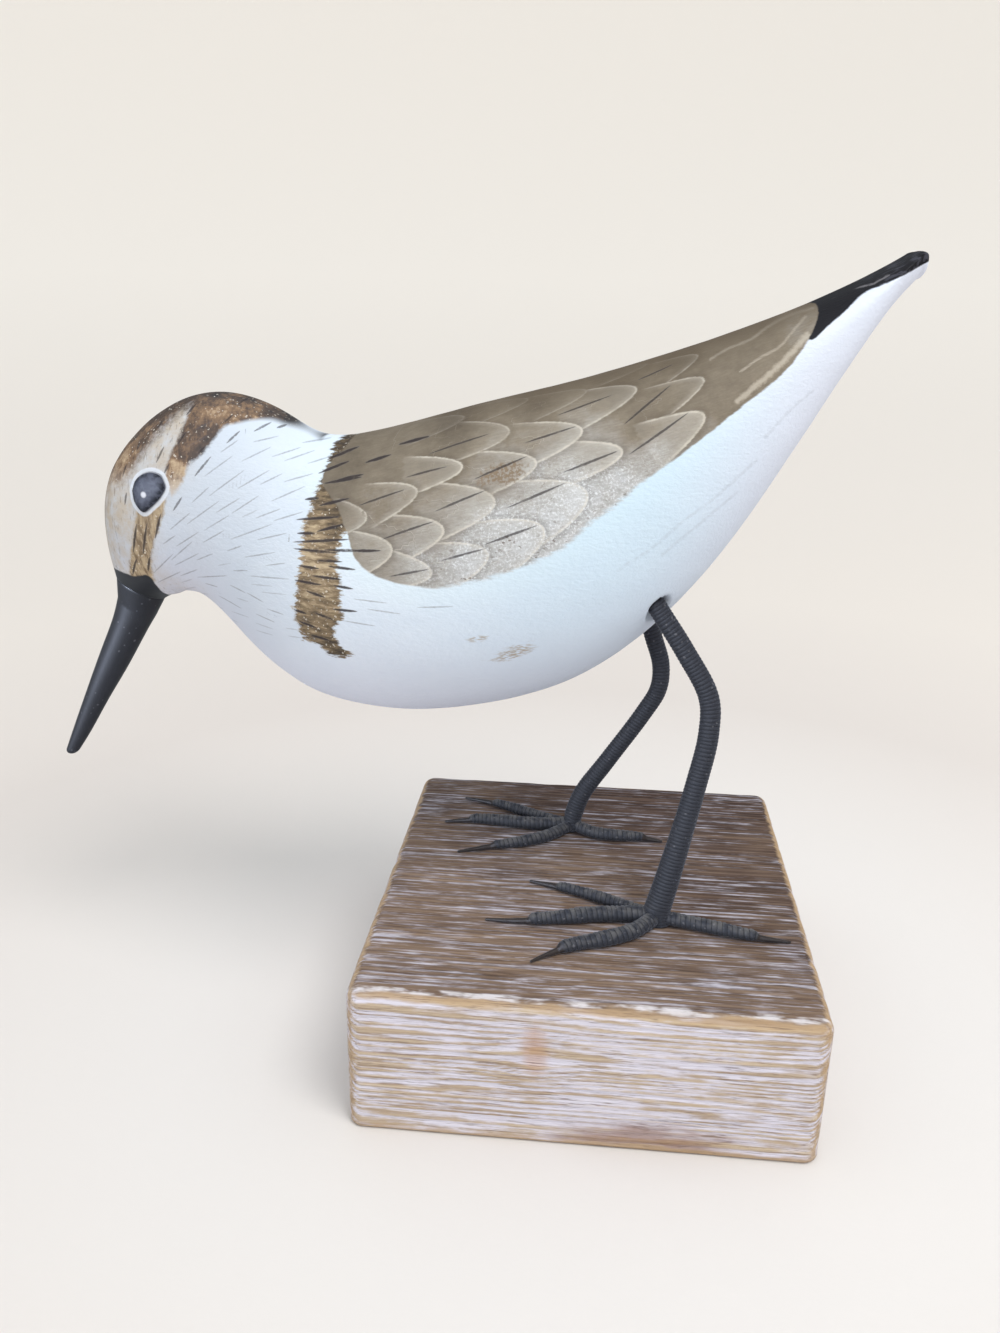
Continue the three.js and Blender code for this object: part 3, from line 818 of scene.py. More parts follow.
# %% Faint strokes between the ones that were read
# Fainter strokes fill the gaps on the neck, turned like their neighbours.
chance = np.random.default_rng(5)
faint = []
for _ in range(900):
    x, y = chance.uniform(-88, -58), chance.uniform(58, 98)
    length = chance.uniform(3.0, 6.5)
    close = [(math.hypot(x - s[0], y - s[1]), s) for s in NECK_STROKES]
    if min(close)[0] > 7 or x < -86 + (y - 66) * 0.15:
        continue
    weights = np.array([1 / (gap**2 + 1) for gap, _ in close])
    direction = float((weights * [s[2] for _, s in close]).sum() / weights.sum())
    stroke = (x, y, direction, length)
    others = lengthened(NECK_STROKES, 1.25) + DARK_STROKES + BREAST_STROKES + faint
    if min(segment_gap(from_middle(stroke), from_middle(s)) for s in others) > 1.35:
        faint.append(stroke)
print("faint strokes:", len(faint))

# %% Sort the strokes into layers
stroke_list = []
for strokes, strength in ((DARK_STROKES, 0.72), (lengthened(LORE_STROKES, 1.15), 0.85),
                          (lengthened(NECK_STROKES, 1.3), 0.46), (faint, 0.28),
                          (lengthened(BREAST_STROKES, 1.2), 0.95)):
    stroke_list += [(side_view, from_middle(s), strength, 0) for s in strokes]
stroke_list += [(wing_view, (np.array(s[:2]), np.array(s[2:])), 0.8, 1) for s in SHAFTS]


def seen_from_side(places, ends, kind):
    """Ends of a stroke in the side view, for one that is given over the wing."""
    if kind == 0:
        return ends
    left_side = body_points[:, 1] < BIRD_PLANE
    return tuple(side_view[left_side][np.linalg.norm(places[left_side] - end, axis=1).argmin()]
                 for end in ends)


STROKE_LAYERS = 4
blank = [STROKE_REACH, STROKE_END, 0.0]
layers = [np.tile(blank, (len(body_points), 1)) for _ in range(STROKE_LAYERS)]
nearest = np.full((STROKE_LAYERS, len(body_points)), 1e9)
laid = [[] for _ in layers]
for places, (start, end), strength, kind in stroke_list:
    ends = seen_from_side(places, (start, end), kind)
    gaps = [min([segment_gap(ends, s) for s in done] or [99]) for done in laid]
    layer = int(np.argmax(np.minimum(gaps, 3 * STROKE_REACH)))
    laid[layer].append(ends)
    half = np.linalg.norm(end - start) / 2
    heading = (end - start) / (2 * half)
    offset = places - (start + end) / 2
    reach = (offset @ heading) / half
    aside = offset @ np.array([-heading[1], heading[0]]) + 0.05 * reach * half
    gap = np.hypot(aside, np.maximum(np.abs(reach) - 1, 0) * half)
    closer = gap < nearest[layer]
    nearest[layer][closer] = gap[closer]
    held_here = strength * ((gap < STROKE_REACH) & (np.abs(reach) < STROKE_END))
    values = np.stack([aside.clip(-STROKE_REACH, STROKE_REACH), reach.clip(-STROKE_END, STROKE_END),
                       held_here], 1)
    layers[layer][closer] = values[closer]
for number, layer in enumerate(layers, 1):
    fields[f"strokes_{number}"] = layer
print("strokes laid:", [len(done) for done in laid])

# %% [markdown]
# ### Feathers
# The wing is painted with overlapping feathers: a taupe ground, and on each feather a pale rim with
# a soft shade below it. Each outline is a parabola, like the tip of a leaf, measured in the wing's own
# directions: along the bird and down from the ridge. Front feathers lie over the ones behind.

# %% Lay the feathers
# Each feather is its tip (along, across), its heading in degrees, a distance behind the tip with the
# half width there, and how plainly it shows.
FEATHERS = [
    (-13.0, 29.8, 20, 3.0, 3.0, 0.8), (-9.7, 37.7, 8, 4.0, 3.9, 1.0), (-2.4, 26.9, 0, 4.1, 3.4, 0.9),
    (0.6, 36.3, 3, 5.1, 4.0, 1.0), (-3.9, 44.5, 18, 3.5, 3.0, 0.9), (6.7, 24.1, 7, 4.4, 3.2, 1.0),
    (10.9, 32.7, 3, 5.4, 4.4, 0.9), (7.0, 42.5, -7, 5.2, 4.0, 0.9), (16.3, 18.1, 9, 4.8, 4.2, 0.6),
    (19.8, 26.6, 1, 5.4, 3.8, 0.9), (17.8, 39.7, -13, 6.2, 4.7, 0.9), (29.1, 21.6, -1, 5.1, 3.8, 0.9),
    (26.9, 34.4, -9, 6.1, 5.0, 0.9), (34.9, 27.8, 0, 5.4, 3.4, 0.9), (40.3, 14.1, -7, 5.8, 4.2, 0.8),
    (52.0, 17.5, -11, 4.1, 3.0, 0.8), (50.2, 25.3, -14, 4.5, 3.3, 1.0), (52.5, 9.1, -10, 3.6, 3.4, 0.6),
    (8.0, 9.0, 5, 4.6, 4.2, 0.25), (20.5, 7.5, 0, 4.8, 3.9, 0.3), (31.5, 10.5, -5, 5.0, 3.6, 0.35),
    (43.5, 4.8, -5, 5.0, 3.0, 0.35),
]
FEATHER_SHEETS, FEATHER_LENGTHS = 4, 2.6
sheets = [np.tile([-1.5, 0.0, 0.0], (len(body_points), 1)) for _ in range(FEATHER_SHEETS)]
sheet_nearest = np.full((FEATHER_SHEETS, len(body_points)), 1e9)
tips_laid = [[] for _ in sheets]
covered = np.full(len(body_points), -9.0)
feather_tone = np.zeros(len(body_points))
chance = np.random.default_rng(7)
for along, across, heading, length, width, plain in sorted(FEATHERS):
    direction = pointing(heading)
    tip = np.array([along, across])
    offset = wing_view - tip
    behind = -(offset @ direction)
    aside = offset @ np.array([-direction[1], direction[0]])
    inside = (behind / length - (aside / width) ** 2) / np.hypot(1 / length, 2 * aside / width**2)
    fade = plain * (1 - step(behind, 1.6 * length, FEATHER_LENGTHS * length))
    fade = fade * (1 - step(covered, -0.15, 0.25))
    gaps = [min([np.linalg.norm(tip - t) for t in done] or [99]) for done in tips_laid]
    sheet = int(np.argmax(gaps))
    tips_laid[sheet].append(tip)
    closer = (np.abs(inside) < sheet_nearest[sheet]) & (behind < 3 * length)
    sheet_nearest[sheet][closer] = np.abs(inside)[closer]
    sheets[sheet][closer] = np.stack([inside.clip(-2.5, 2.5), fade, np.zeros_like(fade)], 1)[closer]
    own = (covered < 0) & (inside > 0) & (behind < FEATHER_LENGTHS * length)
    tone = plain * (chance.uniform(-0.2, 0.5) + 0.7 * (1 - step(behind, 0.0, 2.0 * length)))
    feather_tone[own] = tone[own]
    covered = np.maximum(covered, np.where(behind < FEATHER_LENGTHS * length, inside, -9.0))
for number, sheet in enumerate(sheets, 1):
    fields[f"feathers_{number}"] = sheet
fields["feather_tone"] = feather_tone
fields["wing_place"] = np.stack([wing_view[:, 0], wing_view[:, 1], np.zeros(len(wing_view))], 1)
print("feathers in each sheet:", [len(done) for done in tips_laid])

# %% [markdown]
# ### Tones that change slowly
# The cap goes from pale tan to dark brown and the wing from taupe to a worn pale edge. A few spots
# with a tone each are blended into one smooth field, as a painter works wet colours together.

# %% Blended tones


def blended(places, spots, softness=2.0):
    """Tones of a few spots (x, height, tone), mixed by how near each one is."""
    total = np.zeros(len(places))
    weight = np.zeros(len(places))
    for x, y, tone in spots:
        w = 1 / ((places[:, 0] - x) ** 2 + (places[:, 1] - y) ** 2 + softness) ** 1.5
        total += w * tone
        weight += w
    return total / weight


CAP_TONES = [
    (-102, 82, 0.35), (-99, 85, 0.1), (-101, 88, 0.5), (-97, 89, 0.25), (-98.3, 93, 0.75),
    (-94.5, 92, 0.25), (-94, 97, 0.9), (-91, 95, 0.5), (-89, 100.3, 0.95), (-88, 97.5, 0.6),
    (-84, 102.3, 1.0), (-84, 99.8, 0.55), (-78, 103.3, 1.05), (-78, 100, 0.15), (-72, 102, 0.9),
    (-74, 99.6, 0.05), (-70, 99.8, 0.3), (-79.5, 97, 0.5), (-76.5, 96.5, 0.7), (-80.5, 93.5, 0.55),
    (-78.8, 92.6, 0.95), (-82.3, 89.5, 0.15), (-84, 86, -0.05), (-67, 99.9, 0.8), (-63, 97.8, 1.1),
    (-59, 96, 1.2), (-103, 76, 0.6),
]
DIRT_TONES = [
    (-86, 93, 0.9), (-84, 98, 1.0), (-90, 90, 0.7), (-96, 80, 0.95), (-97, 75, 0.75), (-95, 70, 0.5),
    (-99, 78, 1.0), (-100.5, 72, 0.8), (-87, 90.5, 0.8), (-93.5, 85.5, 0.85), (-82.5, 86, 0.1),
    (-80, 84, 0.0), (-84, 78, 0.0), (-84, 72, 0.0), (-75, 94, 0.0), (-60, 85, 0.0), (-50, 60, 0.0),
]
BREAST_TONES = [
    (-52, 93, 1.0), (-53, 89, 0.8), (-54.5, 85, 0.5), (-51, 85, 0.8), (-54.5, 80, 0.25), (-50, 80, 0.65),
    (-55, 75, 0.15), (-51, 75, 0.4), (-56.5, 71, 0.45), (-53, 71, 0.2), (-50, 70, 0.45), (-54, 66, 0.45),
    (-55, 61, 0.55), (-50, 57, 0.8),
]
# 0 is dark taupe and 1 is worn to a pale grey.
WING_TONES = [
    (-49, 91, 0.12), (-50, 87, 0.15), (-42, 93, 0.22), (-44, 86, 0.32), (-44, 80, 0.42),
    (-38, 86, 0.34), (-40, 76, 0.45), (-33, 75, 0.7),
    (-30, 82, 0.5), (-25, 77, 0.85), (-20, 84, 0.8), (-15, 80, 0.85), (-8, 84, 0.85),
    (-6, 89, 0.9), (2, 91, 0.8), (8, 96, 0.65), (14, 100, 0.4), (20, 105, 0.25), (28, 112, 0.3),
    (32, 117, 0.4), (-30, 93, 0.2), (-22, 90, 0.45), (-12, 92, 0.65), (-15, 98, 0.35), (-2, 97, 0.5),
    (5, 101, 0.2), (10, 106, 0.25), (18, 111, 0.25), (25, 116, 0.25), (-30, 100, 0.0), (-15, 104, 0.05),
    (0, 108, 0.1), (12, 113, 0.05), (25, 118.5, 0.1),
]
for name, spots in (("cap_tone", CAP_TONES), ("head_dirt", DIRT_TONES), ("breast_tone", BREAST_TONES),
                    ("wing_tone", WING_TONES)):
    fields[name] = blended(side_view, spots)


print("tone of the wing:", fields["wing_tone"].min().round(2), "to", fields["wing_tone"].max().round(2))

# %% Worn spots and fine lines


def spot_field(spots):
    """Long soft spots (x, height, length, width, direction): 1 in the middle and 0 at the rim."""
    value = np.full(len(side_view), -1.0)
    for x, y, long, wide, direction in spots:
        c, s = pointing(direction)
        dx, dy = side_view[:, 0] - x, side_view[:, 1] - y
        value = np.maximum(value, 1 - np.hypot((dx * c + dy * s) / long, (dy * c - dx * s) / wide))
    return value


fields["worn"] = spot_field([(-16.3, 58.8, 7.0, 2.4, 22), (-23.0, 61.8, 4.0, 1.0, 12)])
fields["wing_worn"] = spot_field([(-19.2, 91.9, 6.5, 2.6, 14)])
PALE_LINES = [
    [(16.8, 111.7), (20.0, 113.6), (23.7, 115.2), (27.4, 117.6), (31.1, 119.5), (34.8, 120.8)],
    [(21.8, 110.0), (25.1, 112.4), (28.5, 114.4), (30.9, 117.1), (33.2, 119.4)],
]
CREAM_LINES = [[(33.0, 116.3), (30.6, 113.6), (27.6, 110.6), (24.5, 107.8), (21.5, 105.2)]]
CRACK_LINES = [[(2, 75.5), (8, 79.4), (13, 84), (19, 88.5), (26, 95)], [(10, 78), (16, 83.2), (23, 89)],
               [(27, 99), (31, 103.5), (35, 107)]]
GLINT_LINES = [[(38, 122.5), (40.5, 123.7), (42.5, 124.4), (44.2, 124.9), (47.1, 126.5)]]
EDGE_LINES = [[(56, 129), (54.6, 125), (51.8, 121.3), (48.5, 117.2), (45.5, 113.6)]]


def line_field(lines):
    """How far each point is from the nearest of some lines, up to 3 mm."""
    nearest = np.full(len(side_view), 3.0)
    for line in lines:
        line = flowing(line)
        for p, q in zip(line, line[1:]):
            d = q - p
            t = np.clip(((side_view - p) @ d) / (d @ d), 0, 1)
            nearest = np.minimum(nearest, np.linalg.norm(side_view - p - t[:, None] * d, axis=1))
    return nearest


for name, lines in (("pale_line", PALE_LINES), ("cream_line", CREAM_LINES), ("crack_line", CRACK_LINES),
                    ("glint_line", GLINT_LINES), ("edge_line", EDGE_LINES)):
    fields[name] = line_field(lines)
# How much a point faces down, for the painted shade under the belly.
fields["underside"] = step(-body_normal[:, 2], -0.15, 0.95)
fields["ridge"] = body_across
print("tones:", sorted(fields))

# %% [markdown]
# ### Matte paint
# Thin matte paint over carved wood: white sides with a cool cast, a tan and brown cap, a golden
# patch on the breast, taupe wings and a black tail. Each patch is mixed over the last where its
# stored distance passes zero, and a little noise in that distance makes the edge brushy.

# %% White paint, worn spots and the breast
painted_wood, bench, shader = new_material("painted wood")
at = bench.place()
wing_at = bench.field("wing_place", 1)
tone, brush_height = bench.group(
    brush_marks, {"Vector": bench.stretch(at, (0.5, 1.0, 1.0)), "Fineness": 1.0}, ("Tone", "Height"))
fray = bench.about_zero(bench.clouds(at, 0.9, 3.0, 0.7))
level_fray = bench.about_zero(bench.clouds(bench.stretch(at, (0.3, 1.0, 1.5)), 0.8, 4.0, 0.7))
fine_fray = bench.about_zero(bench.clouds(bench.stretch(wing_at, (0.5, 2.0, 1.0)), 1.6, 2.0))
mottle = bench.clouds(at, 0.35, 4.0, 0.7)
pale_dots = bench.group(specks, {"Vector": at, "Spacing": 0.85, "Amount": 0.36})


def edge_mask(name, ragged, softness=0.25, noise_field=None):
    """1 inside a patch and 0 outside, with an edge as ragged as asked, in millimetres."""
    noise_field = fray if noise_field is None else noise_field
    distance = bench.add(bench.field(name), bench.times(noise_field, ragged))
    return bench.rise(distance, -softness, softness)


white = bench.mix(tone, paint(205, 219, 236), paint(226, 236, 246))
# Painted highlight: the white turns paler and bluer in a band just below the wing's lower edge.
white = bench.mix(bench.rise(bench.field("wing"), -6.0, -0.5, 0.0, 0.5), white, paint(218, 234, 243))
along_bird, _, height = bench.parts(at)
white = bench.mix(bench.rise(along_bird, -50.0, 5.0, 0.0, 0.6), white, paint(189, 216, 233))
white = bench.mix(bench.rise(along_bird, -80.0, -45.0, 0.7, 0.0), white, paint(190, 199, 212))
white = bench.mix(bench.rise(along_bird, 6.0, 38.0, 0.0, 0.8), white, paint(222, 228, 243))
# Painted shade: the white turns lavender-grey where the surface faces down.
white = bench.mix(bench.times(bench.field("underside"), 0.55), white, paint(216, 218, 238))
head_dirt = bench.times(bench.field("head_dirt"), bench.rise(along_bird, -84.0, -76.0, 1.0, 0.0))
dirt_share = bench.times(head_dirt, bench.rise(mottle, 0.25, 0.7, 0.25, 0.95))
colour = bench.mix(dirt_share, white, paint(186, 172, 152))
scratches = bench.rise(bench.clouds(bench.stretch(at, (2.2, 1.0, 0.4)), 1.1, 2.0), 0.6, 0.68)
colour = bench.mix(bench.times(bench.times(scratches, head_dirt), 0.55), colour, paint(120, 112, 106))
crack = bench.rise(bench.add(bench.field("crack_line"), bench.times(fray, 0.9)), 0.0, 0.5, 0.2, 0.0)
colour = bench.mix(crack, colour, paint(150, 156, 166))
worn_value = bench.add(bench.field("worn"), bench.times(level_fray, 1.2))
worn_share = bench.times(bench.rise(worn_value, 0.25, 0.7, 0.0, 0.8), bench.rise(fine_fray, -0.12, 0.08))
colour = bench.mix(worn_share, colour, paint(158, 144, 126))
edge_line = bench.rise(bench.add(bench.field("edge_line"), bench.times(fray, 0.8)), 0.3, 0.9, 0.6, 0.0)
colour = bench.mix(edge_line, colour, paint(176, 166, 144))

hatch = bench.clouds(bench.stretch(at, (0.35, 1.0, 1.8)), 0.75, 3.0, 0.65)
breast_tone = bench.add(bench.field("breast_tone"), bench.times(bench.about_zero(hatch), 1.9))
breast_colour = bench.ramp(breast_tone, [(0.0, paint(190, 172, 142)), (0.4, paint(138, 120, 94)),
                                         (0.75, paint(98, 85, 66)), (1.0, paint(70, 61, 52))])
breast_dots = bench.times(pale_dots, bench.rise(mottle, 0.4, 0.6))
breast_colour = bench.mix(bench.times(breast_dots, 0.75), breast_colour, paint(226, 220, 208))
colour = bench.mix(edge_mask("breast", 5.0, 0.45, level_fray), colour, breast_colour)

print("nodes for the white and the breast:", len(bench.tree.nodes))

# %% Wings, feather by feather
wing_tone = bench.add(bench.field("wing_tone"), bench.times(bench.about_zero(mottle), 0.35))
taupe = bench.ramp(wing_tone, [(0.0, paint(84, 74, 61)), (0.12, paint(104, 94, 79)),
                               (0.32, paint(132, 122, 106)), (0.62, paint(168, 166, 162)),
                               (1.0, paint(210, 217, 225))])
hairs = bench.clouds(bench.stretch(wing_at, (0.35, 1.6, 1.0)), 1.3, 3.0, 0.7)
taupe = bench.mix(bench.rise(hairs, 0.35, 0.7, 0.28, 0.0), taupe, paint(96, 86, 74))
feather_share = bench.rise(bench.field("feather_tone"), -0.4, 1.3, 0.0, 0.27)
taupe = bench.mix(feather_share, taupe, paint(206, 203, 194))
rim, glow, shade = 0.0, 0.0, 0.0
for number in range(1, FEATHER_SHEETS + 1):
    side, near, _ = bench.parts(bench.field(f"feathers_{number}", 1))
    frayed = bench.add(side, bench.times(fine_fray, 0.45))
    rim_here = bench.times(bench.rise(frayed, -0.08, 0.12), bench.rise(frayed, 0.22, 0.6, 1.0, 0.0))
    glow_here = bench.times(bench.rise(frayed, 0.0, 0.3), bench.rise(frayed, 0.3, 1.9, 1.0, 0.0))
    shade_here = bench.times(bench.rise(frayed, -1.5, -0.15), bench.rise(frayed, -0.15, 0.02, 1.0, 0.0))
    rim = bench.math("MAXIMUM", rim, bench.times(rim_here, near))
    glow = bench.math("MAXIMUM", glow, bench.times(glow_here, near))
    shade = bench.math("MAXIMUM", shade, bench.times(shade_here, near))
taupe = bench.mix(bench.times(shade, 0.34), taupe, paint(82, 72, 60))
taupe = bench.mix(bench.times(glow, 0.15), taupe, paint(214, 210, 202))
rim_share = bench.times(rim, bench.rise(mottle, 0.3, 0.62, 0.18, 0.52))
taupe = bench.mix(rim_share, taupe, paint(220, 214, 202))
pale_gap = bench.add(bench.field("pale_line"), bench.times(fine_fray, 0.4))
cream_gap = bench.add(bench.field("cream_line"), bench.times(fray, 1.2))
pale_line = bench.rise(pale_gap, 0.0, 0.32, 0.36, 0.0)
cream_line = bench.rise(cream_gap, 0.1, 0.8, 0.45, 0.0)
taupe = bench.mix(bench.math("MAXIMUM", pale_line, cream_line), taupe, paint(214, 206, 192))
ridge_share = bench.times(bench.rise(bench.field("ridge"), 2.0, 21.0, 0.85, 0.0),
                          bench.rise(along_bird, -46.0, -8.0, 0.25, 1.0))
taupe = bench.mix(ridge_share, taupe, paint(98, 86, 70))
# Wear: white and dark specks where the wing is palest, and a brown patch
wear_zone = bench.rise(bench.field("wing_tone"), 0.5, 0.85)
wear_white = bench.rise(bench.clouds(at, 2.3, 4.0, 0.75), 0.48, 0.66)
taupe = bench.mix(bench.times(bench.times(wear_white, wear_zone), 0.8), taupe, paint(226, 230, 234))
dark_dots = bench.group(specks, {"Vector": bench.stretch(at, (0.8, 1.0, 1.3)), "Spacing": 1.05,
                                 "Amount": 0.4})
dot_zone = bench.times(wear_zone, bench.rise(bench.clouds(at, 0.16, 2.0), 0.45, 0.6))
taupe = bench.mix(bench.times(bench.times(dark_dots, dot_zone), 0.9), taupe, paint(112, 102, 94))
patch_value = bench.add(bench.field("wing_worn"), bench.times(fray, 1.2))
patch_share = bench.times(bench.rise(patch_value, 0.2, 0.6),
                          bench.rise(bench.clouds(at, 1.8, 3.0), 0.42, 0.56, 0.15, 0.85))
taupe = bench.mix(patch_share, taupe, paint(128, 110, 88))
wing_ragged = bench.times(level_fray, bench.rise(wear_zone, 0.0, 1.0, 0.7, 2.6))
wing_edge = bench.add(bench.field("wing"), wing_ragged)
wing_share = bench.rise(wing_edge, -0.2, bench.rise(wear_zone, 0.0, 1.0, 0.22, 1.0))
colour = bench.mix(wing_share, colour, taupe)

print("nodes with the wings:", len(bench.tree.nodes))

# %% Head, strokes, tail and holes
eye_gap = bench.add(bench.math("MULTIPLY", bench.field("eye"), -1.0), bench.times(fray, 0.25))
upright_hatch = bench.clouds(bench.stretch(at, (1.8, 1.0, 0.35)), 0.75, 3.0, 0.65)
lore_colour = bench.mix(bench.rise(upright_hatch, 0.35, 0.65), paint(184, 166, 138), paint(126, 108, 86))
colour = bench.mix(edge_mask("lore", 1.3, 0.45), colour, lore_colour)
cap_tone = bench.add(bench.field("cap_tone"), bench.times(bench.about_zero(mottle), 1.6))
cap_tone = bench.add(cap_tone, bench.times(bench.about_zero(upright_hatch), 0.7))
cap_colour = bench.ramp(cap_tone, [(0.0, paint(186, 164, 134)), (0.3, paint(132, 105, 78)),
                                   (0.6, paint(84, 67, 54)), (1.0, paint(44, 38, 36))])
stripe_fray = bench.times(fray, bench.rise(along_bird, -77.0, -70.0, 1.4, 0.0))
stripe_edge = bench.add(bench.field("stripe"), stripe_fray)
cap = bench.math("MAXIMUM", edge_mask("forehead", 3.2, 1.5), bench.rise(stripe_edge, -0.5, 0.5))
cap = bench.times(cap, bench.rise(height, 113.0, 121.0, 0.4, 0.96))
colour = bench.mix(cap, colour, cap_colour)
dots_zone = bench.math("MAXIMUM", cap, edge_mask("lore", 1.0, 0.6))
dots_share = bench.times(bench.times(pale_dots, dots_zone), bench.rise(mottle, 0.4, 0.62, 0.0, 0.7))
colour = bench.mix(dots_share, colour, paint(234, 228, 216))
colour = bench.mix(bench.rise(eye_gap, 0.75, 1.05, 0.85, 0.0), colour, paint(222, 230, 242))
# Painted shadow: a thin dark line just outside the eye's outline, where the bead meets the head.
colour = bench.mix(bench.rise(eye_gap, 0.05, 0.3, 0.7, 0.0), colour, paint(120, 122, 134))
ink = 0.0
for number in range(1, STROKE_LAYERS + 1):
    aside, reach, strength = bench.parts(bench.field(f"strokes_{number}", 1))
    taper = bench.math("SUBTRACT", 1.0, bench.math("POWER", bench.math("ABSOLUTE", reach), 2.0))
    half_width = bench.times(taper, bench.rise(strength, 0.46, 0.8, 0.1, 0.23))
    off_middle = bench.math("ABSOLUTE", bench.add(aside, bench.times(fine_fray, 0.2)))
    here = bench.times(bench.rise(bench.math("SUBTRACT", half_width, off_middle), -0.12, 0.08), strength)
    here = bench.times(here, bench.rise(taper, 0.02, 0.3))
    ink = here if number == 1 else bench.math("MAXIMUM", ink, here)
ink = bench.times(ink, bench.rise(mottle, 0.25, 0.5, 0.6, 1.0))
ink_colour = bench.mix(bench.rise(ink, 0.3, 0.6), paint(84, 88, 100), paint(56, 50, 50))
colour = bench.mix(ink, colour, ink_colour)
tail_black = edge_mask("tail", 0.3, 0.15)
bill_black = edge_mask("bill_paint", 0.4, 0.2)
black = bench.math("MAXIMUM", tail_black, bill_black)
colour = bench.mix(black, colour, bench.mix(tone, paint(20, 19, 22), paint(36, 35, 39)))
# Painted sheen: paler bluish-grey patches on the tail's top, and a thin light glint line along the edge
# of the top, stand in for satin highlights.
painted_sheen = bench.times(bench.rise(bench.clouds(bench.stretch(at, (0.4, 1.0, 1.0)), 0.9, 3.0), 0.48, 0.62),
                   bench.rise(along_bird, 41.0, 48.0, 0.0, 0.6))
colour = bench.mix(bench.times(painted_sheen, black), colour, paint(78, 79, 90))
glint = bench.rise(bench.add(bench.field("glint_line"), bench.times(fray, 0.4)), 0.0, 0.2, 0.55, 0.0)
glint = bench.times(glint, bench.rise(bench.field("ridge"), 6.0, 7.5))
colour = bench.mix(glint, colour, paint(140, 138, 142))
# Painted shade: the inside of each leg hole is painted near black.
hole = bench.rise(bench.field("hole_rim"), -0.4, 0.15, 1.0, 0.0)
colour = bench.mix(hole, colour, paint(26, 23, 24))
PAINT_ROUGHNESS, SATIN_ROUGHNESS = 0.8, 0.34
dress(bench, shader, colour, PAINT_ROUGHNESS, 0.1, bench.bump(0.4, 0.0004, brush_height))
satin = bench.math("MAXIMUM", bench.times(tail_black, 0.12), bill_black)
bench.join(satin, shader.inputs["Coat Weight"])
shader.inputs["Coat Roughness"].default_value = SATIN_ROUGHNESS

print("nodes in the whole paint:", len(bench.tree.nodes))

# %% The carving as one mesh
new_piece("carving", body_points, body_faces, painted_wood, ("body",), fields)

# %% [markdown]
# ## The bill
# A slender cone that curves down a little, painted black with a satin sheen. It could be a bent
# cone, but the loft keeps its measured outline. Its root goes a little way into the head, so that
# no gap shows.

# %% Stations of the bill and its satin black
BILL_STATIONS = [
    ((-120.1, 23.1), (-117.2, 22.8), 1.45), ((-117.1, 29.9), (-113.8, 27.8), 2),
    ((-112.9, 39.2), (-109, 35.5), 2.6), ((-108.9, 47.9), (-104, 43.1), 3.1),
    ((-105.7, 54.7), (-99.3, 50.8), 3.6), ((-103.9, 59.9), (-96.4, 55.3), 4),
]
BILL_TIP_ROUND, BILL_STEP, ROOT_FRONT, ROOT_DEPTH = 1.6, 0.4, 0.3, 0.8
satin_black, bench, shader = new_material("satin black paint")
at = bench.place()
tone, brush_height = bench.group(
    brush_marks, {"Vector": bench.stretch(at, (1.0, 1.0, 0.35)), "Fineness": 1.4}, ("Tone", "Height"))
colour = bench.mix(tone, paint(18, 19, 24), paint(46, 48, 60))
# Pale bluish-grey specks: rubbed paint, and in part a painted speckled sheen on the bill.
rubbed_specks_and_sheen = bench.group(specks, {"Vector": at, "Spacing": 1.5, "Amount": 0.22})
colour = bench.mix(bench.times(rubbed_specks_and_sheen, 0.6), colour, paint(104, 106, 116))
dress(bench, shader, colour, PAINT_ROUGHNESS, 0.1, bench.bump(0.35, 0.0003, brush_height))
shader.inputs["Coat Weight"].default_value = 1.0
shader.inputs["Coat Roughness"].default_value = SATIN_ROUGHNESS

print("nodes in the satin black:", len(bench.tree.nodes))

# %% The bill as one mesh
bill_form = carved_form(BILL_STATIONS, lambda at: at * 0)
bill_last = len(BILL_STATIONS) - 1
BILL_HALF_RING = 36
bill_rings = [even_ring(bill_form, at, BILL_HALF_RING)[0]
              for at in even_stations(bill_form, bill_last, 110)]
head_cut = even_ring(carving, 0.0, BILL_HALF_RING)[0]
up_cut = head_cut[0] - head_cut[BILL_HALF_RING]
facing = np.array([-up_cut[2], 0, up_cut[0]]) / np.hypot(up_cut[0], up_cut[2])
cut_middle = centre_of(carving, 0)
root = cut_middle + (head_cut - cut_middle) * (1 - BILL_STEP / CARVING_STATIONS[0][2])
last_ring = bill_rings[-1]
for share in np.linspace(0, 1, 13)[1:]:
    bill_rings.append(last_ring + (root + facing * ROOT_FRONT - last_ring) * share)
bill_rings.append(root - facing * ROOT_DEPTH)
tip_push = centre_of(bill_form, 0) - centre_of(bill_form, 1)
tip_push *= BILL_TIP_ROUND / np.linalg.norm(tip_push)
bill_rings = rounded_end(bill_rings[0], tip_push, 8)[::-1] + bill_rings
bill_points = np.vstack(bill_rings)
low, high = in_millimetres(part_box("bill"))
bill_points[:, 0] = np.maximum(bill_points[:, 0], low[0])
bill_points[:, 2] = np.maximum(bill_points[:, 2], low[2])
new_piece("bill_visible", bill_points, tube_faces(len(bill_rings), 2 * BILL_HALF_RING), satin_black,
          ("bill",))

# %% [markdown]
# ## The eyes
# Each eye is a low dark bead with an outline that comes to a soft point below, and a small white
# dot, a painted highlight. A flattened sphere would be a perfect oval, so the bead is built from
# rings that follow the outline read from the photograph and rise to a dome.

# %% Eye beads
EYE_STATION, EYE_ANGLE, EYE_BULGE = 4, math.radians(78), 1.25
DOT_PLACE, DOT_RADIUS = (-89.1, 84.5), 0.5
EYE_MIDDLE = np.array([-88.9, 85.0])

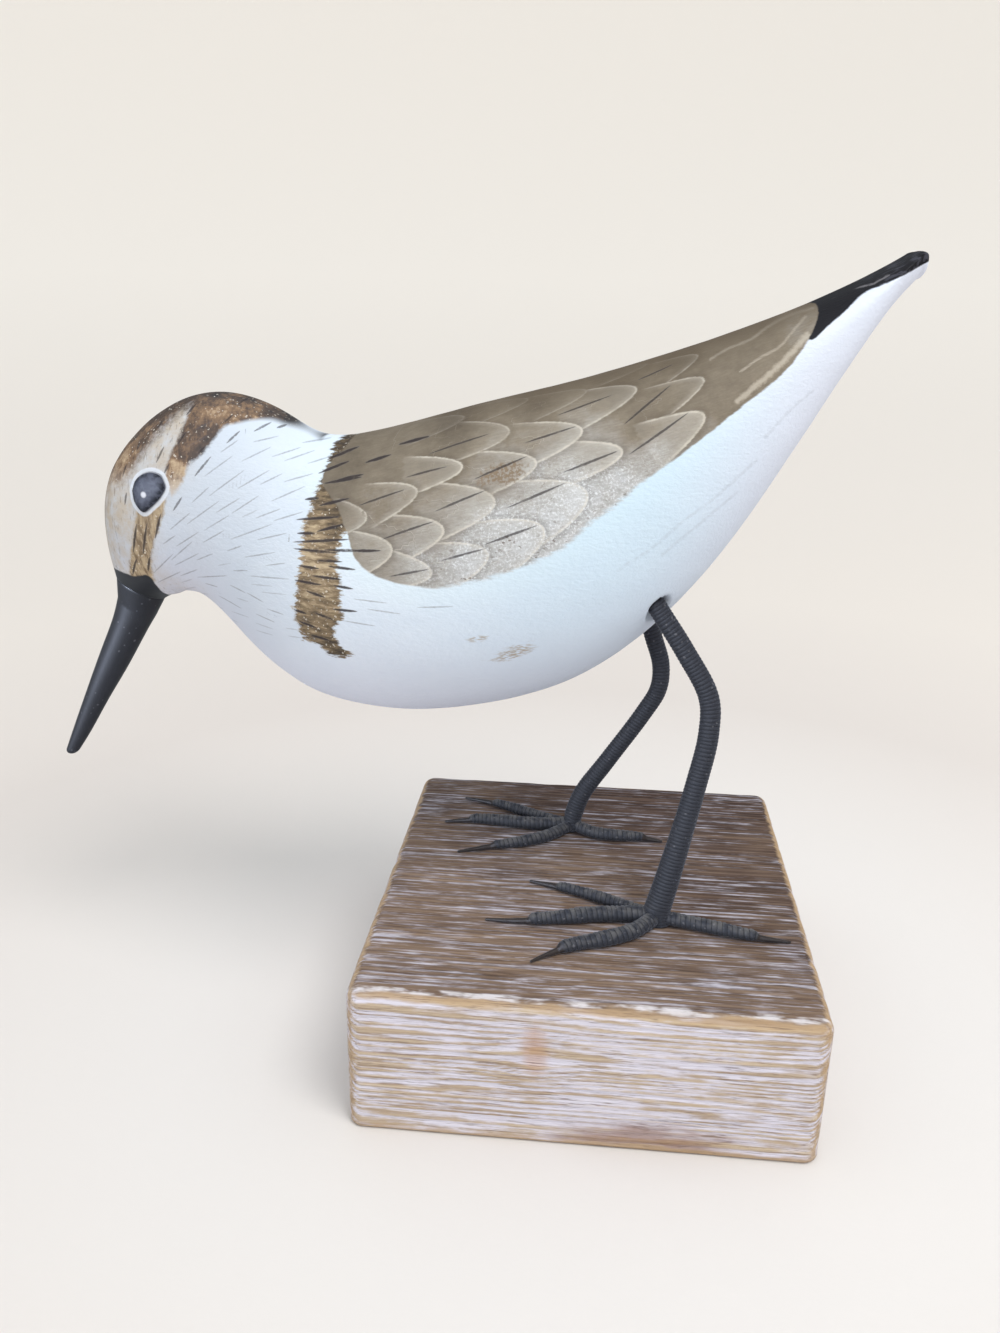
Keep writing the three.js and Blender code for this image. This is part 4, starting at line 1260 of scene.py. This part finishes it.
eye_paint, bench, shader = new_material("eye paint")
_, _, eye_rise = bench.parts(bench.field("eye_place", 1))
brush_height = bench.group(brush_marks, {"Vector": bench.place(), "Fineness": 2.5}, "Height")
# Painted reflection: the bead is paler towards the top of its dome, as a glassy dome mirrors the room,
# and darker at its rim.
colour = bench.mix(bench.rise(eye_rise, 0.25, 0.9), paint(34, 37, 46), paint(72, 77, 94))
scuffed = bench.rise(bench.clouds(bench.place(), 1.1, 3.0), 0.4, 0.62)
colour = bench.mix(bench.times(scuffed, 0.6), colour, paint(92, 98, 116))
dot_off = bench.put("ShaderNodeVectorMath", {0: bench.field("eye_place", 1),
                                             1: (DOT_PLACE[0], DOT_PLACE[1], 0.0)}, operation="SUBTRACT")
dot_off = bench.stretch(dot_off, (1.0, 1.0, 0.0))
dot_far = bench.put("ShaderNodeVectorMath", {0: dot_off}, 1, operation="LENGTH")
# Painted highlight: a small white dot on the bead.
highlight_dot = bench.rise(dot_far, DOT_RADIUS - 0.15, DOT_RADIUS + 0.25, 1.0, 0.0)
colour = bench.mix(highlight_dot, colour, paint(214, 218, 230))
dress(bench, shader, colour, 0.55, 0.14, bench.bump(0.3, 0.0002, brush_height))

print("nodes in the eye paint:", len(bench.tree.nodes))

# %% A bead for each side
for side_name, side in (("left", -1), ("right", 1)):
    angle = side * EYE_ANGLE

    def on_head(station, turn_by):
        return carving(np.array([station]), np.array([turn_by]))[0]

    seat = on_head(EYE_STATION, angle)
    along = on_head(EYE_STATION + 0.05, angle) - seat
    beside = on_head(EYE_STATION, angle + 0.02) - seat
    outward = np.cross(beside, along)
    outward /= np.linalg.norm(outward)
    if outward[1] * side < 0:
        outward = -outward
    rim_line = flowing(EYE_OUTLINE + EYE_OUTLINE[:1], 8)[:-1]
    eye_rings, eye_fields = [], []
    for rise in np.linspace(-0.5, 0.995, 22):
        shrink = math.sqrt(max(1 - rise * rise, 0))
        flat = EYE_MIDDLE + (rim_line - EYE_MIDDLE) * shrink
        level = np.column_stack([flat[:, 0], np.full(len(flat), seat[1]), flat[:, 1] + BLOCK_HEIGHT])
        drop = ((level - seat) @ outward) / outward[1]
        level[:, 1] -= drop
        eye_rings.append(level + outward * EYE_BULGE * rise)
        eye_fields.append(np.column_stack([flat, np.full(len(flat), rise)]))
    eye_points = np.vstack(eye_rings)
    low, high = in_millimetres(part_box(f"{side_name}_eye"))
    print(side_name, "eye sits", (eye_points.min(0) - low).round(2), (high - eye_points.max(0)).round(2))
    new_piece(f"{side_name}_eye_bead", eye_points, tube_faces(len(eye_rings), len(rim_line)), eye_paint,
              (f"{side_name}_eye",), {"eye_place": np.vstack(eye_fields)})

# %% [markdown]
# ## Legs and toes
# Each leg is wire wound with black thread from a hole in the belly down to the block, and each toe
# is a wound wire that ends in a bare claw. A bump map would leave the outline smooth, so every turn
# of the thread is real relief: rings along the wire whose radius follows a helix.

# %% Black thread
black_thread, bench, shader = new_material("black thread")
at = bench.place()
groove = bench.field("groove")
bare = bench.field("bare")
fibres = bench.clouds(bench.stretch(at, (1.0, 1.0, 3.0)), 3.0, 3.0, 0.7)
# Dust and painted top light: the thread turns paler grey on its upper sides near the block.
dust_and_top_light = bench.times(bench.field("dust_and_top_light"), bench.rise(bench.clouds(at, 0.5, 3.0), 0.35, 0.65))
colour = bench.mix(fibres, paint(25, 27, 33), paint(62, 65, 76))
colour = bench.mix(bench.times(dust_and_top_light, 0.45), colour, paint(126, 124, 122))
# Painted shade: the grooves between the turns of thread are darkened.
colour = bench.mix(bench.rise(groove, 0.35, 1.0), colour, paint(16, 16, 19))
dust = bench.group(specks, {"Vector": at, "Spacing": 1.4, "Amount": 0.24})
colour = bench.mix(bench.times(dust, 0.35), colour, paint(132, 132, 138))
colour = bench.mix(bare, colour, paint(52, 46, 44))
thread_roughness = bench.rise(bare, 0.0, 1.0, 0.68, 0.4)
dress(bench, shader, colour, thread_roughness, 0.17, bench.bump(0.5, 0.0002, fibres))
shader.inputs["Sheen Weight"].default_value = 0.25
shader.inputs["Sheen Roughness"].default_value = 0.4
shader.inputs["Sheen Tint"].default_value = (0.75, 0.82, 1.0, 1.0)


print("nodes in the thread:", len(bench.tree.nodes))

# %% A wire wound with thread
TURN_STEPS, THREAD_RISE, END_RINGS = 7, 0.06, 3


def wound_wire(name, path, radius_at, pitch, depth, around, replaced, bare_from=None):
    """A wire along a path, wound with thread as far as bare_from."""
    line, at_distance = evenly(path, pitch / TURN_STEPS)
    radii = radius_at(at_distance / at_distance[-1]) + THREAD_RISE
    uneven = 0.0 if bare_from is None else 0.07
    bumps = ripple(np.column_stack([at_distance] * 3), (0.3, 0.3, 0.3), len(name) + 1)
    radii = radii * (1 + uneven * bumps)
    forward = np.gradient(line, axis=0)
    forward /= np.linalg.norm(forward, axis=1, keepdims=True)
    beside = np.array([0.0, 1.0, 0.0])
    turns = np.arange(around) / around
    drift = ripple(np.column_stack([at_distance, at_distance * 0, at_distance * 0]), (0.35, 1, 1),
                   len(name)) * 0.35
    points, grooves, bares, dust = [], [], [], []
    for i, (place, ahead_here, radius) in enumerate(zip(line, forward, radii)):
        beside = beside - ahead_here * (beside @ ahead_here)
        beside /= np.linalg.norm(beside)
        above = np.cross(ahead_here, beside)
        wound = 1.0
        if bare_from is not None:
            wound = float(1 - step(at_distance[i], bare_from - 0.5, bare_from + 0.1))
        phase = at_distance[i] / pitch + drift[i] - turns
        dip = np.abs(np.sin(math.pi * phase)) ** 0.7
        grooves.append((1 - dip) * wound)
        bares.append(np.full(around, 1 - wound))
        here = radius - depth * (1 - dip) * wound
        angle = 2 * math.pi * turns
        outward = np.cos(angle)[:, None] * beside + np.sin(angle)[:, None] * above
        points.append(place + outward * here[:, None])
        # Dust and painted top light: how much the surface faces up, near the block.
        dust.append(outward[:, 2].clip(0, 1) * step(BLOCK_HEIGHT + 9 - place[2], 0, 6))
    ends = [rounded_end(points[0], -forward[0] * radii[0] * 0.5, END_RINGS)[::-1],
            rounded_end(points[-1], forward[-1] * radii[-1] * 0.8, END_RINGS)]
    stored = {"groove": grooves, "bare": bares, "dust_and_top_light": dust}
    for field, values in stored.items():
        stored[field] = np.concatenate([values[0]] * END_RINGS + values + [values[-1]] * END_RINGS)
    points = ends[0] + points + ends[1]
    wire = np.vstack(points)
    wire[:, 2] = np.maximum(wire[:, 2], BLOCK_HEIGHT + 0.02)
    low, high = in_millimetres(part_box(replaced[0]))
    wire = np.clip(wire, low, high)
    return new_piece(name, wire, tube_faces(len(points), around), black_thread, replaced,
                     stored)


print("rings for each turn of the thread:", TURN_STEPS)

# %% Wind the legs
HOLE_REACH, FOOT_FLARE = 7.0, 0.14
LEG_GROOVE, TOE_GROOVE = 0.16, 0.17
LEG_PITCH, TOE_PITCH = 0.78, 1.05
for leg_name, leg in LEGS.items():
    path = leg_points(leg)
    into = path[0] - path[1]
    hole_end = path[0] + into / np.linalg.norm(into) * HOLE_REACH
    foot = path[-1].copy()
    foot[2] = STAND_LEVEL + 0.2
    instep = foot + [0, 0, 3]
    line = flowing(np.vstack([[hole_end], path[:-1], [instep]]), 8)
    line = np.vstack([line, [foot]])

    def leg_radius(share, leg=leg):
        flare = 1 + FOOT_FLARE * step(share, 0.6, 1.0)
        return flare * (leg["foot"] + (leg["top"] - leg["foot"]) * np.sqrt(1 - share)) / 2

    wound_wire(f"{leg_name}_leg_wound", line, leg_radius, LEG_PITCH, LEG_GROOVE, 24,
               (f"{leg_name}_leg",))

# %% Wind the toes
# Length, direction in degrees from straight ahead, bow, sway, thickness and length of the claw.
TOES = {
    "left": dict(middle=(35.5, 6, 0.5, -0.7, 3.2, 9), hind=(27, 170, -1, 0.2, 2.8, 6.5),
                 inner=(30, -25, -0.6, 0.1, 2.5, 6.5), outer=(30.5, 35, 1.7, 1.2, 3.2, 6.5)),
    "right": dict(middle=(31, -1, -0.3, -0.8, 3, 6), hind=(22, -169, 2.4, 0.8, 2.8, 4),
                  inner=(30, -30, -3, -0.7, 2.7, 8), outer=(30.5, 25, 0, -0.6, 2.6, 8)),
}
TOE_TAPER, CLAW_DIAMETER, CLAW_TIP = 0.78, 1.2, 0.4
for leg_name, toes in TOES.items():
    leg = LEGS[leg_name]
    ankle = leg_points(leg)[-1]
    for toe_name, (length, direction, bow, sway, diameter, claw) in toes.items():
        side = leg["side"]
        c, s = pointing(direction)
        forward = np.array([-c, side * s])
        sideways = np.array([s, side * c])
        wound_end = length - claw
        start = leg["foot"] * 0.3
        far = np.linspace(start, length - CLAW_TIP / 2, 80)

        def thickness(distance, diameter=diameter, wound_end=wound_end, length=length):
            wound = diameter * (1 + (TOE_TAPER - 1) * step(distance, wound_end / 2, wound_end)) / 2
            claw_share = np.clip((distance - wound_end) / (length - wound_end), 0, 1)
            bare_radius = (CLAW_DIAMETER + (CLAW_TIP - CLAW_DIAMETER) * claw_share) / 2
            turned_bare = step(distance, wound_end - 1.6, wound_end + 0.4) ** 1.3
            return wound + (bare_radius - wound) * turned_bare

        bend = bow * np.sin(math.pi * far / length) + sway * np.sin(2 * math.pi * far / length)
        flat = ankle[:2] + far[:, None] * forward + bend[:, None] * sideways
        line = np.column_stack([flat, STAND_LEVEL + thickness(far)])

        def toe_radius(share, start=start, length=length, thickness=thickness):
            return thickness(start + share * (length - CLAW_TIP / 2 - start))

        wound_wire(f"{leg_name}_{toe_name}_toe_wound", line, toe_radius, TOE_PITCH, TOE_GROOVE, 20,
                   (f"{leg_name}_{toe_name}_toe",), bare_from=wound_end - start)

# %% [markdown]
# ## The block
# The stand is a block of softwood that was brushed with wire, so that the soft grain sank, then
# limewashed and rubbed back: white stays in the grooves and the edges show bare wood. Noise that is
# stretched along the grain gives the same lines on the top and on the front. It is used twice, for
# real grooves in a fine mesh and for the colour.

# %% Shape of the block
CORNER_RADIUS, TOP_ROUND, BOTTOM_ROUND = 3.2, 2.6, 1.0


def graded(low, high, spacing, rounding, end_steps):
    """Grid lines from low to high that crowd where the block turns at its edges."""
    turn_steps = np.linspace(0, rounding, end_steps + 1)
    middle_count = max(int((high - low - 2 * rounding) / spacing), 1)
    middle = np.linspace(low + rounding, high - rounding, middle_count + 1)
    return np.concatenate([low + turn_steps[:-1], middle, (high - turn_steps[:-1])[::-1]])


def ease(points):
    """Moves points of a sharp box onto the block with rounded corners and edges."""
    half = np.array([BLOCK_LENGTH, BLOCK_DEPTH]) / 2
    flat, z = points[:, :2], points[:, 2]
    core = np.clip(flat, -(half - CORNER_RADIUS), half - CORNER_RADIUS)
    out = flat - core
    reach = np.abs(out).max(axis=1)
    inset = CORNER_RADIUS - reach
    height = z.copy()
    for level, radius, sign in ((BLOCK_HEIGHT, TOP_ROUND, 1), (0.0, BOTTOM_ROUND, -1)):
        from_level = sign * (level - z)
        on_face = (from_level < 1e-6) & (inset < radius)
        on_side = (inset < 1e-6) & (from_level < radius) & ~on_face
        angle = np.where(on_face, (1 - inset / radius) * math.pi / 4,
                         math.pi / 2 - (1 - from_level / radius) * math.pi / 4)
        turned = on_face | on_side
        inset = np.where(turned, radius * (1 - np.sin(angle)), inset)
        height = np.where(turned, level - sign * radius * (1 - np.cos(angle)), height)
    length = np.maximum(np.linalg.norm(out, axis=1), 1e-9)
    moved = core + out / length[:, None] * np.maximum(CORNER_RADIUS - inset, 0)[:, None]
    return np.column_stack([np.where((reach > 0)[:, None], moved, flat), height])


lines_x = graded(-BLOCK_LENGTH / 2, BLOCK_LENGTH / 2, 1.8, CORNER_RADIUS, 6)
lines_y = graded(-BLOCK_DEPTH / 2, BLOCK_DEPTH / 2, 0.36, CORNER_RADIUS, 9)
lines_z = graded(0.0, BLOCK_HEIGHT, 0.36, 1.3, 5)
shell = bmesh.new()


def lay_grid(first, second, place_of):
    grid = [[shell.verts.new(place_of(a, b)) for b in second] for a in first]
    for i in range(len(first) - 1):
        for j in range(len(second) - 1):
            shell.faces.new((grid[i][j], grid[i + 1][j], grid[i + 1][j + 1], grid[i][j + 1]))


half_x, half_y = BLOCK_LENGTH / 2, BLOCK_DEPTH / 2
lay_grid(lines_x, lines_y, lambda a, b: (a, b, BLOCK_HEIGHT))
for end in (-half_y, half_y):
    lay_grid(lines_x, lines_z, lambda a, b: (a, end, b))
for end in (-half_x, half_x):
    lay_grid(lines_y, lines_z, lambda a, b: (end, a, b))
print("block grid:", len(shell.verts), "points")

# %% Ease the edges
# The underside is closed with one flat face.
bmesh.ops.remove_doubles(shell, verts=shell.verts, dist=1e-4)
open_edges = [e for e in shell.edges if e.is_boundary]
bmesh.ops.holes_fill(shell, edges=open_edges)
bmesh.ops.recalc_face_normals(shell, faces=shell.faces)
sharp = np.array([v.co for v in shell.verts])
block_points = ease(sharp)
for vertex, place in zip(shell.verts, block_points):
    vertex.co = place
shell.normal_update()
block_normal = np.array([v.normal for v in shell.verts])
block_faces = [[v.index for v in f.verts] for f in shell.faces]
shell.free()

print("sharp corners moved by up to", round(float(np.abs(block_points - sharp).max()), 2), "mm")

# %% Brush the grain
# The grain runs along the length and turns over the front arris without a break.
KNOT_X, KNOT_ACROSS = -9.0, BLOCK_DEPTH / 2 + 19.0
across = block_points[:, 2] - block_points[:, 1]
from_knot = np.stack([(block_points[:, 0] - KNOT_X) / 6.0, (across - KNOT_ACROSS) / 7.0], 1)
bent = 1.5 * np.tanh((across - KNOT_ACROSS) / 2.0) * np.exp(-(from_knot**2).sum(1))
along_across = np.column_stack([block_points[:, 0], across - bent, np.zeros(len(across))])
GRAIN_PITCH = 1.35
turns = along_across[:, 1] / GRAIN_PITCH + 1.6 * ripple(along_across, (0.012, 0.16, 1), 11)
turns += 0.45 * ripple(along_across, (0.04, 0.6, 1), 12)
plain_lines = 0.5 + 0.5 * np.cos(2 * math.pi * turns)
line_depth = 0.75 + 0.6 * ripple(along_across, (0.022, 0.4, 1), 13)
fine_grain = ripple(along_across, (0.03, 1.5, 1), 14)
sunk = np.clip(plain_lines * line_depth + 0.45 * fine_grain, 0, 1)
near_x = half_x - np.abs(block_points[:, 0])
near_y = half_y - np.abs(block_points[:, 1])
near_top = BLOCK_HEIGHT - block_points[:, 2]
near_bottom = block_points[:, 2]
faces_near = np.sort(np.stack([near_x, near_y, near_top, near_bottom], 1), axis=1)
from_arris = faces_near[:, 1]
dents = np.clip(ripple(block_points, (0.12, 0.2, 0.2), 15), 0, 1) * (1 - step(from_arris, 0.5, 3.5))
flat_under = step(block_points[:, 2], 0.02, 1.2)
end_grain = 1 - step(near_x, 0.3, 2.0)
at_edge = step(from_arris, 0.3, 3.0)
GROOVE_DEPTH, DENT_DEPTH, SANDED_OFF = 0.22, 0.35, 0.05
grooved = GROOVE_DEPTH * sunk * (1 - 0.6 * end_grain) * at_edge
brushed = (grooved + DENT_DEPTH * dents + SANDED_OFF) * flat_under
block_points = block_points - block_normal * brushed[:, None]
top_view = block_points[:, :2]
# 0 is pale and 1 is dark brown. The top darkens towards the back and the right; at the back this is
# partly a painted shadow of the bird.
TOP_TONES = [
    (-35, -38, 0.2), (-5, -40, 0.25), (30, -40, 0.4), (-35, -10, 0.3), (0, -14, 0.35), (28, -12, 0.65),
    (40, 8, 0.8), (-38, 18, 0.45), (-10, 10, 0.4), (15, 12, 0.7), (-36, 40, 0.55), (-12, 38, 0.8),
    (4, 42, 1.1), (20, 40, 1.1), (40, 40, 0.8), (2, 27, 0.85),
]


def block_spot(x, z, long, tall):
    """A soft oval on the front of the block: 1 in the middle and 0 at its rim."""
    off = np.hypot((block_points[:, 0] - x) / long, (block_points[:, 2] - z) / tall)
    return (1 - off).clip(0, 1) * (block_points[:, 1] < -40)


block_fields = {
    "sunk": sunk, "from_arris": from_arris, "level": step(block_normal[:, 2], 0.5, 0.95),
    "top_tone": blended(top_view, TOP_TONES, 30.0),
    "knot": block_spot(KNOT_X, 21, 4.0, 9), "stain": block_spot(12, 1, 30, 10),
    "front_edge": near_y * (block_points[:, 1] < 0) + 99.0 * (block_points[:, 1] >= 0),
}
print("deepest groove:", round(float(brushed.max()), 2), "mm")

# %% Limewashed wood
limewashed, bench, shader = new_material("limewashed wood")
at = bench.place()
sunk_here, level = bench.field("sunk"), bench.field("level")
lines = bench.clouds(bench.stretch(at, (0.02, 1.0, 1.0)), 1.1, 4.0, 0.7, 0.3)
hair_lines = bench.clouds(bench.stretch(at, (0.04, 1.0, 1.0)), 3.2, 3.0, 0.75)
breaks = bench.clouds(bench.stretch(at, (0.3, 1.0, 1.0)), 0.45, 3.0, 0.6)
blotches = bench.clouds(bench.stretch(at, (0.5, 1.0, 1.0)), 0.07, 3.0, 0.55)
wood_tone = bench.add(bench.times(lines, 0.6), bench.times(sunk_here, -0.25))
wood_tone = bench.add(wood_tone, 0.3)
tan_wood = bench.ramp(wood_tone, [
    (0.25, paint(116, 96, 82)), (0.5, paint(172, 151, 128)), (0.68, paint(204, 186, 160))])
brown_wood = bench.ramp(wood_tone, [
    (0.25, paint(38, 28, 24)), (0.5, paint(70, 53, 46)), (0.7, paint(108, 88, 76))])
pale_brown = bench.ramp(wood_tone, [
    (0.25, paint(74, 58, 47)), (0.5, paint(114, 93, 77)), (0.7, paint(152, 130, 110))])
top_tone = bench.add(bench.field("top_tone"), bench.times(bench.about_zero(blotches), 1.2))
top_wood = bench.mix(bench.rise(top_tone, 0.2, 0.95), pale_brown, brown_wood)
ground_tone = bench.mix(level, tan_wood, top_wood)
print("nodes for the bare wood:", len(bench.tree.nodes))

# %% Lime held in the grain
lime = bench.mix(hair_lines, paint(196, 192, 208), paint(238, 237, 250))
held = bench.add(bench.times(sunk_here, bench.rise(level, 0.0, 1.0, 0.62, 0.42)),
                 bench.times(hair_lines, bench.rise(level, 0.0, 1.0, 0.6, 1.15)))
held = bench.add(held, bench.times(lines, 0.3))
held = bench.add(held, bench.times(bench.about_zero(breaks), 0.9))
held = bench.add(held, bench.times(bench.about_zero(blotches), 0.5))
held = bench.add(held, bench.rise(level, 0.0, 1.0, 0.09, -0.22))
held = bench.math("SUBTRACT", held, bench.times(bench.times(top_tone, level), 0.16))
lime_mask = bench.rise(held, 0.52, bench.rise(level, 0.0, 1.0, 0.95, 1.1))
colour = bench.mix(bench.times(lime_mask, bench.rise(level, 0.0, 1.0, 0.88, 0.7)), ground_tone, lime)
print("nodes with the lime:", len(bench.tree.nodes))

# %% Knot, stain and rubbed edges
knot = bench.rise(bench.add(bench.field("knot"), bench.times(bench.about_zero(breaks), 0.8)), 0.15, 0.7)
knot_wood = bench.mix(lines, paint(150, 98, 62), paint(214, 170, 126))
colour = bench.mix(bench.times(knot, 0.5), colour, knot_wood)
stain_value = bench.add(bench.field("stain"), bench.times(bench.about_zero(breaks), 0.9))
stain = bench.rise(stain_value, 0.25, 0.75)
stained_wood = bench.mix(lines, paint(96, 66, 48), paint(166, 122, 86))
colour = bench.mix(bench.times(stain, 0.7), colour, stained_wood)
arris_noise = bench.about_zero(bench.clouds(bench.stretch(at, (0.25, 1.0, 1.0)), 0.5, 3.0))
arris = bench.add(bench.field("from_arris"), bench.times(arris_noise, 3.0))
arris_wood = bench.mix(lines, paint(150, 120, 88), paint(206, 180, 144))
colour = bench.mix(bench.rise(arris, 0.8, 1.9, 0.85, 0.0), colour, arris_wood)
band_place = bench.add(bench.field("front_edge"), bench.times(arris_noise, 1.6))
white_band = bench.times(bench.rise(band_place, 1.1, 1.5), bench.rise(band_place, 2.3, 3.0, 1.0, 0.0))
white_band = bench.times(bench.times(white_band, level), bench.rise(breaks, 0.38, 0.56))
colour = bench.mix(bench.times(white_band, 0.8), colour, paint(226, 222, 226))
dark_lines = bench.rise(hair_lines, 0.36, 0.46, 0.6, 0.0)
colour = bench.mix(bench.times(dark_lines, bench.rise(breaks, 0.3, 0.6)), colour, paint(104, 84, 72))
grain_height = bench.add(lines, bench.times(hair_lines, 0.6))
dress(bench, shader, colour, 0.85, 0.2, bench.bump(0.7, 0.0005, grain_height))
print("nodes in the limewashed wood:", len(bench.tree.nodes))
new_piece("block", block_points, block_faces, limewashed, ("plinth",), block_fields)
